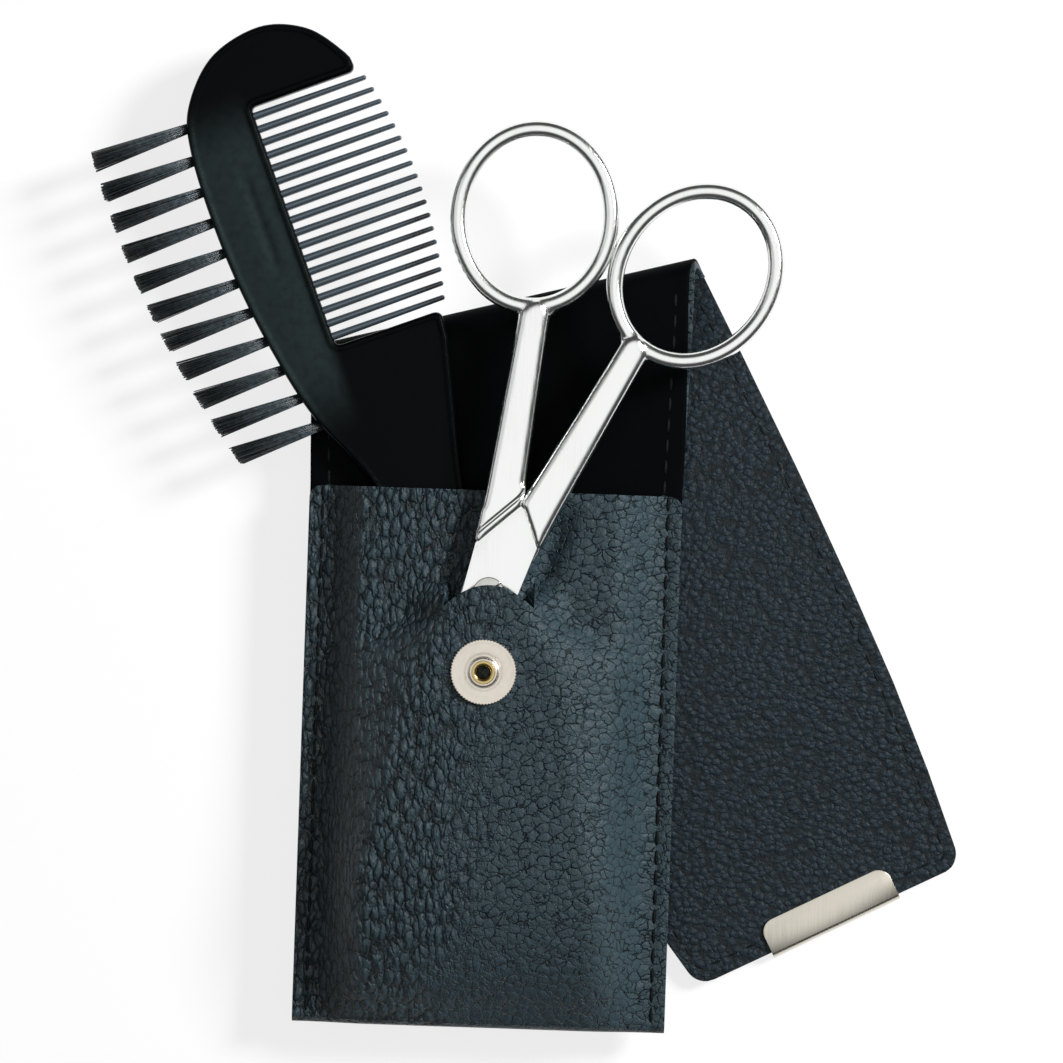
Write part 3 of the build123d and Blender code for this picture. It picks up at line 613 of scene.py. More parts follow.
# In the finishes below a Scale of 0.7 / MM means 0.7 features in a millimetre.
@dataclass(frozen=True)
class GrainedLeather(Finish):
    """Full-grain leather, drum dyed: pebbles with thin creases between them, painted nearly black as their
    shade.

    The creases lie close and upright where the hide is drawn over an edge, and run
    round broad, flat pebbles elsewhere.

    Attributes:
        crease: Painted shade down in the creases, as a near-black colour.
        pebble_mm: Width and length of a broad pebble.
        drawn_mm: Width and length of a pebble where the hide is drawn.
        domed: How far a broad pebble is a dome.
        depth_mm: Height of a pebble over its creases.
        turn: Direction of the hide, in degrees.
    """

    crease: str = "#070c0e"
    pebble_mm: tuple[float, float] = (1.75, 1.45)
    drawn_mm: tuple[float, float] = (1.35, 2.5)
    domed: float = 0.35
    drawn_from: float = -200.0
    depth_mm: float = 0.22
    turn: float = 0.0

    def pebbles(self, tree: Tree, size: tuple[float, float], crease: float, domed: float) -> bpy.types.Node:
        """One field of pebbles.

        Args:
            tree: The material's tree.
            size: Width and length of a pebble, in mm.
            crease: Share of a pebble that its crease takes.
            domed: How far a pebble is a dome, from 0 for a flat one to 1.

        Returns:
            The height, from 0 in a crease to 1.
        """
        # With this stretch one unit is one pebble, and so are the scales below.
        width, length = (1 / (side * MM) for side in size)
        place = place_nodes(tree, self.turn, (width, length, width))
        drift = put(tree, "ShaderNodeTexNoise", {
            "Vector": place, "Scale": 0.9, "Detail": 2.0, "Roughness": 0.6,
        })
        bent = put(
            tree, "ShaderNodeMixRGB", {"Fac": 1.0, "Color1": place, "Color2": drift.outputs["Color"]},
            blend_type="ADD",
        )
        field = {"Vector": bent, "Scale": 1.0, "Randomness": 1.0}
        cells = put(tree, "ShaderNodeTexVoronoi", field, feature="DISTANCE_TO_EDGE")
        around = put(tree, "ShaderNodeTexVoronoi", field)
        wide = put(
            tree, "ShaderNodeMath", {0: drift, 1: crease * 2.6, 2: -crease * 0.3}, operation="MULTIPLY_ADD"
        )
        faint = put(tree, "ShaderNodeMapRange", {
            "Value": drift, "From Min": 0.36, "From Max": 0.6, "To Min": 0.75, "To Max": 0.0,
        })
        sharp = put(
            tree, "ShaderNodeMapRange",
            {"Value": cells.outputs["Distance"], "From Max": wide, "To Min": faint},
            interpolation_type="SMOOTHSTEP",
        )
        dome = put(
            tree, "ShaderNodeMapRange",
            {"Value": around.outputs["Distance"], "From Min": 0.85, "From Max": 0.0},
            interpolation_type="SMOOTHSTEP",
        )
        return put(tree, "ShaderNodeMix", {"Factor": domed, "A": sharp, "B": dome})

    def drawn_share(self, tree: Tree) -> bpy.types.Node:
        """How far the hide is drawn, along an uneven line.

        Args:
            tree: The material's tree.

        Returns:
            The node with the share, from 1 beside the seam to 0.
        """
        across = put(tree, "ShaderNodeSeparateXYZ", {0: place_nodes(tree)})
        edge = put(tree, "ShaderNodeTexNoise", {
            "Vector": place_nodes(tree), "Scale": 0.055 / MM, "Detail": 1.0,
        })
        wave = put(tree, "ShaderNodeMath", {0: edge, 1: 24 * MM, 2: across}, operation="MULTIPLY_ADD")
        return put(tree, "ShaderNodeMapRange", {
            "Value": wave, "From Min": (self.drawn_from + 6) * MM, "From Max": (self.drawn_from + 18) * MM,
            "To Min": 1.0, "To Max": 0.0,
        })

    def pattern(self, tree: Tree) -> dict[str, bpy.types.Node]:
        """Pebbles, fine wrinkles, pores, slow changes of tone, and painted shade in the creases.

        Args:
            tree: The material's tree.

        Returns:
            The node that feeds each of the shader's inputs.
        """
        broad = self.pebbles(tree, self.pebble_mm, 0.08, self.domed)
        drawn = self.pebbles(tree, self.drawn_mm, 0.14, 0.7)
        share = self.drawn_share(tree)
        main = put(tree, "ShaderNodeMix", {"Factor": share, "A": broad, "B": drawn})
        depth = put(tree, "ShaderNodeMapRange", {"Value": share, "To Min": 0.5, "To Max": 1.0})
        pores = put(tree, "ShaderNodeTexNoise", {
            "Vector": place_nodes(tree), "Scale": 2.7 / MM, "Detail": 2.0, "Roughness": 0.6,
        })
        speck = put(tree, "ShaderNodeMapRange", {"Value": pores, "From Min": 0.3, "From Max": 0.7})
        folds = put(tree, "ShaderNodeTexNoise", {
            "Vector": place_nodes(tree, self.turn, (1.6, 0.8, 1.0)), "Scale": 0.7 / MM, "Detail": 3.0,
            "Roughness": 0.6,
        })
        tone = put(tree, "ShaderNodeTexNoise", {
            "Vector": place_nodes(tree), "Scale": 0.06 / MM, "Detail": 5.0,
        })
        raised = put(tree, "ShaderNodeMath", {0: main, 1: depth}, operation="MULTIPLY")
        soft = put(tree, "ShaderNodeMath", {0: folds, 1: 0.38, 2: raised}, operation="MULTIPLY_ADD")
        height = put(tree, "ShaderNodeMath", {0: speck, 1: 0.07, 2: soft}, operation="MULTIPLY_ADD")
        bump = put(tree, "ShaderNodeBump", {
            "Strength": 1.0, "Distance": self.depth_mm * MM, "Height": height,
        })
        # The colour runs with the pebbles' height, from the painted crease shade up to the pebble colour.
        shade = put(tree, "ShaderNodeMath", {0: tone, 1: 0.3, 2: main}, operation="MULTIPLY_ADD")
        spots = put(tree, "ShaderNodeMath", {0: speck, 1: 0.5, 2: shade}, operation="MULTIPLY_ADD")
        ramp = put(tree, "ShaderNodeValToRGB", {"Fac": spots})
        for stop, at, code in zip(ramp.color_ramp.elements, (0.34, 1.0), (self.crease, self.color)):
            stop.position, stop.color = at, linear(code)
        return {"Base Color": ramp, "Normal": bump}


@dataclass(frozen=True)
class SmoothLeather(Finish):
    """Split leather with a black finish coat: nearly flat, with a very fine grain."""

    def pattern(self, tree: Tree) -> dict[str, bpy.types.Node]:
        """Fine grain and faint rub marks.

        Args:
            tree: The material's tree.

        Returns:
            The node that feeds each of the shader's inputs.
        """
        place = place_nodes(tree)
        grain = put(
            tree, "ShaderNodeTexVoronoi", {"Vector": place, "Scale": 2.6 / MM}, feature="DISTANCE_TO_EDGE"
        )
        marks = put(tree, "ShaderNodeTexNoise", {"Vector": place, "Scale": 0.16 / MM, "Detail": 5.0})
        bump = put(tree, "ShaderNodeBump", {
            "Strength": 0.5, "Distance": 0.04 * MM, "Height": grain.outputs["Distance"],
        })
        rough = put(tree, "ShaderNodeMapRange", {
            "Value": marks, "To Min": self.roughness - 0.1, "To Max": self.roughness + 0.12,
        })
        return {"Roughness": rough, "Normal": bump}


@dataclass(frozen=True)
class WorkedMetal(Finish):
    """Metal with the marks of its last tool.

    Attributes:
        metallic: 1, as on every metal.
        turn: Direction of the brush lines, in degrees.
        line_mm: Width of a brush line; real ones are finer and don't show.
        stretch: How much longer than wide a line is.
        depth_mm: Depth of a line.
        spread: How far the roughness varies.
    """

    metallic: float = 1.0
    turn: float = 0.0
    line_mm: float = 0.25
    stretch: float = 30.0
    depth_mm: float = 0.004
    spread: float = 0.08

    def pattern(self, tree: Tree) -> dict[str, bpy.types.Node]:
        """Brush lines and faint handling marks.

        Args:
            tree: The material's tree.

        Returns:
            The node that feeds each of the shader's inputs.
        """
        lines = put(tree, "ShaderNodeTexNoise", {
            "Vector": place_nodes(tree, self.turn, (1.0, 1.0 / self.stretch, 1.0)),
            "Scale": 1.0 / (self.line_mm * MM), "Detail": 3.0,
        })
        marks = put(tree, "ShaderNodeTexNoise", {
            "Vector": place_nodes(tree), "Scale": 0.09 / MM, "Detail": 4.0,
        })
        both = put(tree, "ShaderNodeMath", {0: lines, 1: marks}, operation="MULTIPLY")
        rough = put(tree, "ShaderNodeMapRange", {
            "Value": both, "From Min": 0.1, "From Max": 0.4,
            "To Min": self.roughness - self.spread, "To Max": self.roughness + self.spread,
        })
        bump = put(tree, "ShaderNodeBump", {"Strength": 0.6, "Distance": self.depth_mm * MM, "Height": lines})
        return {"Roughness": rough, "Normal": bump}


@dataclass(frozen=True)
class MouldedPlastic(Finish):
    """Injection-moulded ABS from a polished mould: glossy, with faint flow waves.

    Attributes:
        painted_sheen: Colour painted over the comb's spine: a painted sheen that stands in for its
            reflection, lighter than the black body.
    """

    painted_sheen: str = ""

    def painted_spine_sheen(self, tree: Tree) -> bpy.types.Node:
        """Painted sheen over the comb's spine, standing in for its reflection, soft at its ends, with small
        specks in it.

        Args:
            tree: The material's tree.

        Returns:
            The node with the colour.
        """
        c, s = math.cos(math.radians(COMB.turn)), math.sin(math.radians(COMB.turn))
        start = ((COMB.x * c + COMB.y * s) * MM, (COMB.y * c - COMB.x * s) * MM, 0.0)
        local = put(
            tree, "ShaderNodeVectorMath", {0: place_nodes(tree, COMB.turn), 1: start}, operation="SUBTRACT"
        )
        parts = put(tree, "ShaderNodeSeparateXYZ", {0: local})
        specks = put(tree, "ShaderNodeTexNoise", {
            "Vector": place_nodes(tree), "Scale": 0.7 / MM, "Detail": 4.0,
        })
        share = put(tree, "ShaderNodeMapRange", {
            "Value": specks, "From Min": 0.3, "From Max": 0.55, "To Min": 0.7, "To Max": 1.0,
        })
        for axis, low, high in ((0, 0.5, -2.5), (1, -18.0, -4.0), (1, 44.0, 32.0)):
            mask = put(
                tree, "ShaderNodeMapRange",
                {"Value": parts.outputs[axis], "From Min": low * MM, "From Max": high * MM},
                interpolation_type="SMOOTHSTEP",
            )
            share = put(tree, "ShaderNodeMath", {0: share, 1: mask}, operation="MULTIPLY")
        return put(
            tree, "ShaderNodeMixRGB",
            {"Fac": share, "Color1": linear(self.color), "Color2": linear(self.painted_sheen)},
        )

    def pattern(self, tree: Tree) -> dict[str, bpy.types.Node]:
        """Flow waves, fine scratches in the gloss, and a painted sheen on the spine.

        Args:
            tree: The material's tree.

        Returns:
            The node that feeds each of the shader's inputs.
        """
        waves = put(tree, "ShaderNodeTexNoise", {
            "Vector": place_nodes(tree), "Scale": 0.12 / MM, "Detail": 2.0,
        })
        marks = put(tree, "ShaderNodeTexNoise", {
            "Vector": place_nodes(tree, COMB.turn, (1, 0.1, 1)), "Scale": 1.5 / MM, "Detail": 4.0,
        })
        bump = put(tree, "ShaderNodeBump", {"Strength": 0.3, "Distance": 0.05 * MM, "Height": waves})
        rough = put(tree, "ShaderNodeMapRange", {
            "Value": marks, "From Min": 0.3, "From Max": 0.8,
            "To Min": self.roughness, "To Max": self.roughness + 0.12,
        })
        # The base colour, when given, carries the painted sheen on the spine.
        return {"Roughness": rough, "Normal": bump} | ({"Base Color": self.painted_spine_sheen(tree)} if self.painted_sheen else {})


@dataclass(frozen=True)
class SpunThread(Finish):
    """Waxed polyester thread: dull, with its twist showing as fine slanted lines."""

    def pattern(self, tree: Tree) -> dict[str, bpy.types.Node]:
        """The twist of the thread.

        Args:
            tree: The material's tree.

        Returns:
            The node that feeds each of the shader's inputs.
        """
        twist = put(tree, "ShaderNodeTexWave", {
            "Vector": place_nodes(tree, 35), "Scale": 0.9 / MM, "Distortion": 1.5,
        })
        bump = put(tree, "ShaderNodeBump", {
            "Strength": 0.6, "Distance": 0.05 * MM, "Height": twist.outputs["Fac"],
        })
        return {"Normal": bump}


@dataclass(frozen=True)
class NylonFilament(Finish):
    """Drawn nylon filament: each strand has its own tone.

    Attributes:
        dark: Colour of the darkest strands.
    """

    dark: str = "#12191b"

    def pattern(self, tree: Tree) -> dict[str, bpy.types.Node]:
        """A tone for each strand.

        Args:
            tree: The material's tree.

        Returns:
            The node that feeds each of the shader's inputs.
        """
        tone = put(tree, "ShaderNodeTexNoise", {"Vector": place_nodes(tree), "Scale": 1.5 / MM})
        ramp = put(tree, "ShaderNodeValToRGB", {"Fac": tone})
        for stop, at, code in zip(ramp.color_ramp.elements, (0.35, 0.7), (self.dark, self.color)):
            stop.position, stop.color = at, linear(code)
        return {"Base Color": ramp}


# Drum-dyed full-grain hide: broad, soft highlights that break up on the pebbles, over creases painted nearly
# black as their shade.
GRAINED = GrainedLeather(
    "full_grain_leather_pebbled", "#26353b", 0.45, 0.4, crease="#010304", drawn_from=-7.0, depth_mm=0.65
)
# The same hide from a tighter part: small round pebbles and a duller, darker face.
FLAP_GRAIN = GrainedLeather(
    "full_grain_leather_pebbled_flap", "#17232a", 0.5, 0.3, pebble_mm=(1.3, 1.05), domed=0.9, depth_mm=0.42,
    turn=FLAP.turn,
)
# Coated split: an even black that hardly shines, so that the lining reads as a dark hollow.
LINING = SmoothLeather("split_leather_coated_black", "#020304", 0.6, 0.04)
# Rolled sheet: a warm silver with fine lines that draw each highlight out lengthwise.
NICKEL = WorkedMetal("nickel_plated_steel_rolled", "#d6d1c4", 0.27, turn=SCISSORS.turn)
# Pressed and plated: a pale, slightly mottled face with no direction.
STUD_PLATE = WorkedMetal("nickel_plated_brass_pressed", "#e0d8cc", 0.3, line_mm=0.5, stretch=2.0)
# Turned brass: yellow where it catches the light, brown in its own shadow.
BRASS = WorkedMetal("brass_turned", "#c9b27a", 0.22)
# Drawn wire: a neutral, slightly dull grey.
SPRING = WorkedMetal("spring_steel_drawn", "#a8a8a6", 0.3)
# Satin-ground stainless steel: bright flats, with soft dark lines only at the edges.
STEEL = WorkedMetal("stainless_steel_satin", "#f4f5f4", 0.2, turn=SCISSORS.turn + 20)
# A turned head, a shade greyer than the ground halves round it.
SCREW_STEEL = WorkedMetal("stainless_steel_turned", "#d2d2cc", 0.24, turn=40)
# Polished mould, thin teeth: the same black plastic, with its base colour painted grey as sheen; each shows
# one long grey highlight.
TOOTH_PLASTIC_PAINTED_SHEEN = MouldedPlastic("abs_moulded_gloss_black_teeth", "#38434b", 0.24, 1.0)
# Polished mould, broad faces: a deep black, with a painted sheen of dark grey on the spine that stands in for
# its reflection.
PLASTIC = MouldedPlastic("abs_moulded_gloss_black", "#030405", 0.2, 0.04, painted_sheen="#20292a")
# Drawn filament: a sheen that runs along the tuft, in strands of uneven grey.
BRISTLE = NylonFilament("nylon_filament_black", "#37444b", 0.36, 1.0)
# Waxed thread: a dull black that shows against the grain only by its shape.
THREAD = SpunThread("polyester_thread_black", "#080b0d", 0.6, 0.2)


# Pieces that repeat
def geometry_tree(name: str, sizes: Sizes) -> tuple[Tree, bpy.types.bpy_prop_collection]:
    """Starts a Geometry Nodes tree with named inputs.

    Args:
        name: The tree's name.
        sizes: First value of each input.

    Returns:
        The tree, and the sockets of its inputs by name.
    """
    tree = bpy.data.node_groups.new(name, "GeometryNodeTree")
    tree.interface.new_socket("Geometry", in_out="INPUT", socket_type="NodeSocketGeometry")
    for label, value in sizes.items():
        kind = {int: "Int", float: "Float"}.get(type(value), "Vector")
        socket = tree.interface.new_socket(label, in_out="INPUT", socket_type=f"NodeSocket{kind}")
        socket.default_value = value
    tree.interface.new_socket("Geometry", in_out="OUTPUT", socket_type="NodeSocketGeometry")
    return tree, put(tree, "NodeGroupInput").outputs


def close_tree(
    tree: Tree, source: Source, finish: Finish, given: bpy.types.bpy_prop_collection | None = None
) -> None:
    """Ends a tree in real, smooth geometry with its material.

    Args:
        tree: The tree.
        source: The geometry so far.
        finish: The finish that it gets.
        given: The tree's inputs, if its Turn and Place are to move the geometry.
    """
    if given is not None:
        turn = put(tree, "ShaderNodeCombineXYZ", {2: given["Turn"]})
        source = put(tree, "GeometryNodeTransform", {
            "Geometry": source, "Translation": given["Place"], "Rotation": turn,
        })
    real = put(tree, "GeometryNodeRealizeInstances", {"Geometry": source})
    shaded = put(tree, "GeometryNodeSetShadeSmooth", {"Geometry": real})
    dressed = put(tree, "GeometryNodeSetMaterial", {"Geometry": shaded, "Material": finish.material()})
    put(tree, "NodeGroupOutput", {0: dressed})


def grown(name: str, points: Grid, edges: bool, tree: Tree, sizes: Sizes) -> Piece:
    """Runs a Geometry Nodes tree on some points and keeps the plain mesh.

    Args:
        name: The piece's name.
        points: Where the tree starts from, in metres.
        edges: Whether the points are joined in a row.
        tree: The tree.
        sizes: Values of its named inputs.

    Returns:
        The piece.
    """
    mesh = bpy.data.meshes.new(name)
    rows = [tuple(p) for p in points]
    mesh.from_pydata(rows, [(i, i + 1) for i in range(len(rows) - 1)] if edges else [], [])
    piece = bpy.data.objects.new(name, mesh)
    bpy.context.scene.collection.objects.link(piece)
    modifier = piece.modifiers.new(name, "NODES")
    modifier.node_group = tree
    for item in tree.interface.items_tree:
        if item.item_type == "SOCKET" and item.in_out == "INPUT" and item.name in sizes:
            modifier[item.identifier] = sizes[item.name]
    return applied(piece)


@dataclass
class Stitching:
    """Lockstitch: a row of tight stitches that sit down in the leather.

    Attributes:
        pitch: Distance from stitch to stitch, in mm.
        length: Length of a stitch, in mm.
        width: Thickness of the thread, in mm.
    """

    pitch: float = 3.2
    length: float = 2.7
    width: float = 0.62

    @property
    def sizes(self) -> Sizes:
        """The inputs of its tree."""
        return {"Pitch": self.pitch * MM, "Stitch length": self.length * MM, "Thread width": self.width * MM}

    def tree(self) -> Tree:
        """The tree that lays one stitch after another along a line, made on first use.

        Returns:
            The tree.
        """
        found = bpy.data.node_groups.get("stitch_row")
        if found:
            return found
        tree, given = geometry_tree("stitch_row", self.sizes)
        curve = put(tree, "GeometryNodeMeshToCurve", {0: given["Geometry"]})
        even = put(tree, "GeometryNodeResampleCurve", {0: curve, "Length": given["Pitch"]}, mode="LENGTH")
        width = given["Thread width"]
        size = put(tree, "ShaderNodeCombineXYZ", {0: given["Stitch length"], 1: width, 2: width})
        bead = put(tree, "GeometryNodeMeshUVSphere", {"Segments": 8, "Rings": 6, "Radius": 0.5})
        stitch = put(tree, "GeometryNodeTransform", {"Geometry": bead, "Scale": size})
        along = put(tree, "GeometryNodeInputTangent")
        turn = put(tree, "FunctionNodeAlignRotationToVector", {"Vector": along}, axis="X")
        laid = put(tree, "GeometryNodeInstanceOnPoints", {
            "Points": even, "Instance": stitch, "Rotation": turn,
        })
        close_tree(tree, laid, THREAD)
        return tree

    def sew(self, name: str, line: Grid, body: Body) -> None:
        """Sews along a line.

        Args:
            name: The piece's name.
            line: The line's points, in metres.
            body: The body that the thread rides on.
        """
        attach(grown(name, line, True, self.tree(), self.sizes), body.value)
        log.info("stitching: %s", name)


# Case
@dataclass(frozen=True)
class Valley:
    """A soft valley in the leather, from the slit up to the pocket's mouth.

    Attributes:
        at: Its place across the case, 75 mm from the bottom, in mm.
        lean: How far it moves across for each mm up.
        depth: Its depth, in mm.
        width: Its half width, in mm.
        start: Where it starts, from the bottom.
        rise: Length of its start.
        fall: Length of its end, 90 mm from the bottom.
    """

    at: float
    lean: float
    depth: float
    width: float
    start: float
    rise: float
    fall: float

    def sunk(self, x: Grid, y: Grid) -> Grid:
        """How far each place lies down in it.

        Args:
            x: Across the case, in mm.
            y: From the pocket's bottom, in mm.

        Returns:
            The depths in mm.
        """
        off = (x - (self.at + (y - 75) * self.lean)) / self.width
        ends = ease((y - self.start) / self.rise) * ease((90 - y) / self.fall)
        return self.depth * np.exp(-(off ** 2)) * ends


@dataclass
class LeatherCase:
    """The pocket, the back panel, the fold and the flap, with their thread.

    Attributes:
        width: Of the pocket, in mm.
        fold_width: Of the strip at the fold.
        lining_in: How far the lining stands back from the leather's edge at the fold.
        mouth: Distance of the pocket's mouth from its bottom.
        seam: Width of the flat seams.
        leather: Thickness of the grained leather.
        lining: Thickness of the lining.
        back: Underside of the back panel, over the table.
        step: Distance between mesh points.
        roll: Radius of the rolled bottom, along the case.
        slit_x: Middle of the slit across the case.
        slit_half: Half its width.
        slit_top: Distance of its middle from the bottom.
        slit_end: Distance of its ends from the bottom.
        upper: Height of the front beside its raised middle.
        lower: Height of its raised middle.
        rises: Width of the rise beside the left seam, and beside the right.
        tab: Half width of the level part of the tab and the lip.
        lip: Width of the slope beside them.
        ridge: Half width of the raised middle, 66 mm from the bottom.
        widening: How much wider it gets for each mm down, left and right.
        valleys: The valleys beside the slit.
        stitch_in: Distance of the seams' stitches from the case's edge.
        flap_length: Length of the flap.
        flap_end: Half width of its end.
        flap_slant: Slope of its end, in degrees.
        flap_corner: Radius of its corners.
    """

    width: float = 62.5
    fold_width: float = 64.2
    lining_in: float = 0.9
    mouth: float = 90.1
    seam: float = 3.5
    leather: float = 1.3
    lining: float = 0.5
    back: float = 4.8
    step: float = 0.55
    roll: float = 1.5
    slit_x: float = -0.5
    slit_half: float = 7.5
    slit_top: float = 74.4
    slit_end: float = 70.7
    upper: float = 12.2
    lower: float = 17.25
    rises: tuple[float, float] = (6.6, 8.4)
    tab: float = 5.6
    lip: float = 8.5
    ridge: float = 8.4
    widening: tuple[float, float] = (0.265, 0.215)
    valleys: tuple[Valley, ...] = (
        Valley(7.4, 0.33, 2.1, 2.6, 70, 5, 7), Valley(-7.6, 0.30, 0.9, 1.6, 72, 4, 6),
    )
    stitch_in: float = 2.3
    flap_length: float = 115.5
    flap_end: float = 24.4
    flap_slant: float = -2.4
    flap_corner: float = 3.0

    @property
    def floor(self) -> float:
        """Height of the lining's face."""
        return self.back + self.leather + self.lining

    @property
    def edge(self) -> float:
        """Height of the front's outer face along its seams."""
        return self.floor + self.leather

    def slit(self, x: Grid) -> Grid:
        """The slit's line, which runs on level beyond its ends."""
        across = np.clip((x - self.slit_x) / self.slit_half, -1.0, 1.0)
        return self.slit_top - (self.slit_top - self.slit_end) * across ** 2

    def middle_rise(self, x: Grid, y: Grid, half: float, above: bool) -> Grid:
        """How far the raised middle of the front is reached, from 0 to 1.

        Args:
            x: Across the case, in mm.
            y: From the pocket's bottom, in mm.
            half: Half width between the seams.
            above: Whether the place is on the mouth's side of the slit.

        Returns:
            The share of the full height.
        """
        across, off = np.abs(x), np.abs(x - self.slit_x)
        if above:
            lip = 1.0 - ease((off - self.tab) / self.lip)
            inside = ease((off - self.tab) / 3.6) * (1.0 - ease((off - 7.0) / 7.5))
            return np.where(off < self.slit_half, inside, lip) * (1.0 - ease((y - self.slit(x)) / 5.5))
        ridge = self.ridge + (66 - np.clip(y, 26, self.slit_end)) * np.where(x < 0, *self.widening)
        near = ease((y - 60) / (self.slit_end - 60))
        ridge = ridge + (self.tab - ridge) * near
        run = (half - 0.3 - ridge) + (self.lip - (half - 0.3 - ridge)) * near
        return ease((ridge + run - (across + (off - across) * near)) / run)

    def front_height(self, x: Grid, y: Grid, above: bool) -> Grid:
        """Height of the pocket front's outer face.

        Args:
            x: Across the case, in mm.
            y: From the pocket's bottom, in mm.
            above: Whether the place is on the mouth's side of the slit.

        Returns:
            The height in mm.
        """
        half = self.width / 2 - self.seam
        across = np.abs(x)
        first = ease((half + 0.4 - across) / np.where(x < 0, *self.rises))
        second = self.middle_rise(x, y, half, above)
        up = (0, 1.5, 3.5, 6.5, 10, 15, 21, 27, 33)
        bottom = np.interp(y, up, (0.1, 0.24, 0.40, 0.56, 0.70, 0.83, 0.93, 0.985, 1.0))
        height = ((self.upper - self.edge) * first + (self.lower - self.upper) * second) * bottom
        if above:
            height = height - sum(valley.sunk(x, y) for valley in self.valleys)
        else:
            height = height + 0.3 * ripple(x, y, 30.0, 4) * ease((half - across) / 6.0) * ease((70 - y) / 12)
        pressed = 0.28 * np.exp(-(((across - (self.width / 2 - self.stitch_in)) / 0.6) ** 2))
        return self.edge + height - pressed

    def rows(self, low: Grid, high: Grid, count: int, columns: Grid, above: bool, corner: float) -> Grid:
        """Points of one part of the pocket front.

        Args:
            low: The lowest y of each column.
            high: The highest y of each column.
            count: Number of rows.
            columns: Place of each column, from -1 to 1.
            above: Whether the part is on the mouth's side of the slit.
            corner: Radius of the part's outer corners, in mm.

        Returns:
            The points, row by row.
        """
        t = np.linspace(0, 1, count)[:, None]
        t = 1 - (1 - t) ** 1.25 if above else t ** 0.6
        y = low[None, :] + (high - low)[None, :] * t
        end = self.mouth - y if above else y
        inset = corner - np.sqrt(np.clip(corner ** 2 - np.clip(corner - end, 0, corner) ** 2, 0, None))
        x = columns[None, :] * (self.width / 2 - inset)
        return CASE.at(x, y, self.front_height(x, y, above))

    def front(self) -> Piece:
        """The pocket's front, with the slit, its tab and the rolled bottom.

        Returns:
            The front, dressed.
        """
        span = self.width / 2
        columns = np.unique(np.concatenate((
            np.linspace(-1, 1, round(self.width / self.step)),
            (self.slit_x + self.slit_half * np.array((-1.0, 1.0))) / span,
        )))
        line = self.slit(columns * span)
        low = self.rows(np.full_like(line, self.roll), line, round(70 / self.step), columns, False, 0.01)
        high = self.rows(line, np.full_like(line, self.mouth), round(19 / self.step), columns, True, 2.0)
        closed = np.abs(columns * span - self.slit_x) >= self.slit_half - 1e-6
        middle = (low[-1] + high[0]) / 2
        low[-1][closed] = high[0][closed] = middle[closed]
        turn = np.linspace(0, 1, 9)[:-1, None]
        first = low[0] / MM
        roll_y = CASE.y + self.roll * (1 - np.sin(math.pi * turn))
        roll_z = self.back + (first[None, :, 2] - self.back) * (1 - np.cos(math.pi * turn)) / 2
        rolled = np.stack(np.broadcast_arrays(first[None, :, 0], roll_y, roll_z), axis=-1) * MM
        parts, faces, count = [], [], 0
        for part in (np.concatenate((rolled, low)), high):
            faces += grid_faces(part.shape[0], part.shape[1], count)
            parts.append(part.reshape(-1, 3))
            count += len(parts[-1])
        piece = sheet_of_leather("pocket_front_leather", np.concatenate(parts), faces, self.leather)
        return dress(piece, Body.POUCH, GRAINED, ["pocket_front"])

    def edge_x(self, y: Grid) -> Grid:
        """Half width of the strip at a distance from the bottom."""
        grow = (self.fold_width - self.width) / 2
        return self.width / 2 + grow * np.clip((y - self.mouth) / (TANGENT_Y - self.mouth), 0, 1)

    def panel(self, name: str, top: float, thickness: float, inset: float) -> Piece:
        """One layer of the back panel, up to the fold's tangent line.

        Args:
            name: The layer's name.
            top: Height of its upper face, in mm.
            thickness: In mm.
            inset: How far its sides stand back at the fold.

        Returns:
            The layer.
        """
        rows, columns = 150, 90
        u = np.linspace(-1, 1, columns)[None, :]
        v = np.linspace(0, 1, rows)[:, None]
        end = TANGENT_Y + u * self.fold_width / 2 * math.tan(SLOPE)
        y = self.roll + (end - self.roll) * v
        back = inset * ease((y - self.mouth - 6) / (TANGENT_Y - self.mouth))
        x = u * (self.edge_x(y) - back)
        points = CASE.at(x, y, top).reshape(-1, 3)
        faces = grid_faces(rows, columns)
        near = 0.2 * math.cos(SLOPE)
        return sheet_of_leather(name, points, faces, thickness, lambda spot: abs(past_fold(spot)) < near, 0.2)

    def fold(self, name: str, outer: float, thickness: float, inset: float) -> Piece:
        """One layer of the fold, half a tube along the slanted line.

        Args:
            name: The layer's name.
            outer: Radius of its outer face, in mm.
            thickness: In mm.
            inset: How far its upper end stands back.

        Returns:
            The layer.
        """
        rows, columns = 25, 90
        half = self.fold_width / 2 / math.cos(SLOPE)
        a = np.linspace(0, 1, rows)[:, None]
        u = np.linspace(-1, 1, columns)[None, :]
        x = u * (half - inset * (1 - ease(a * 1.6))) + FOLD_SHIFT * a
        points = FOLD.at(x, outer * np.sin(math.pi * a), FOLD_OUTER + outer * np.cos(math.pi * a))
        faces = grid_faces(rows, columns)
        return sheet_of_leather(
            name, points.reshape(-1, 3), faces, thickness, lambda spot: past_fold(spot) < 0.2, 0.2
        )

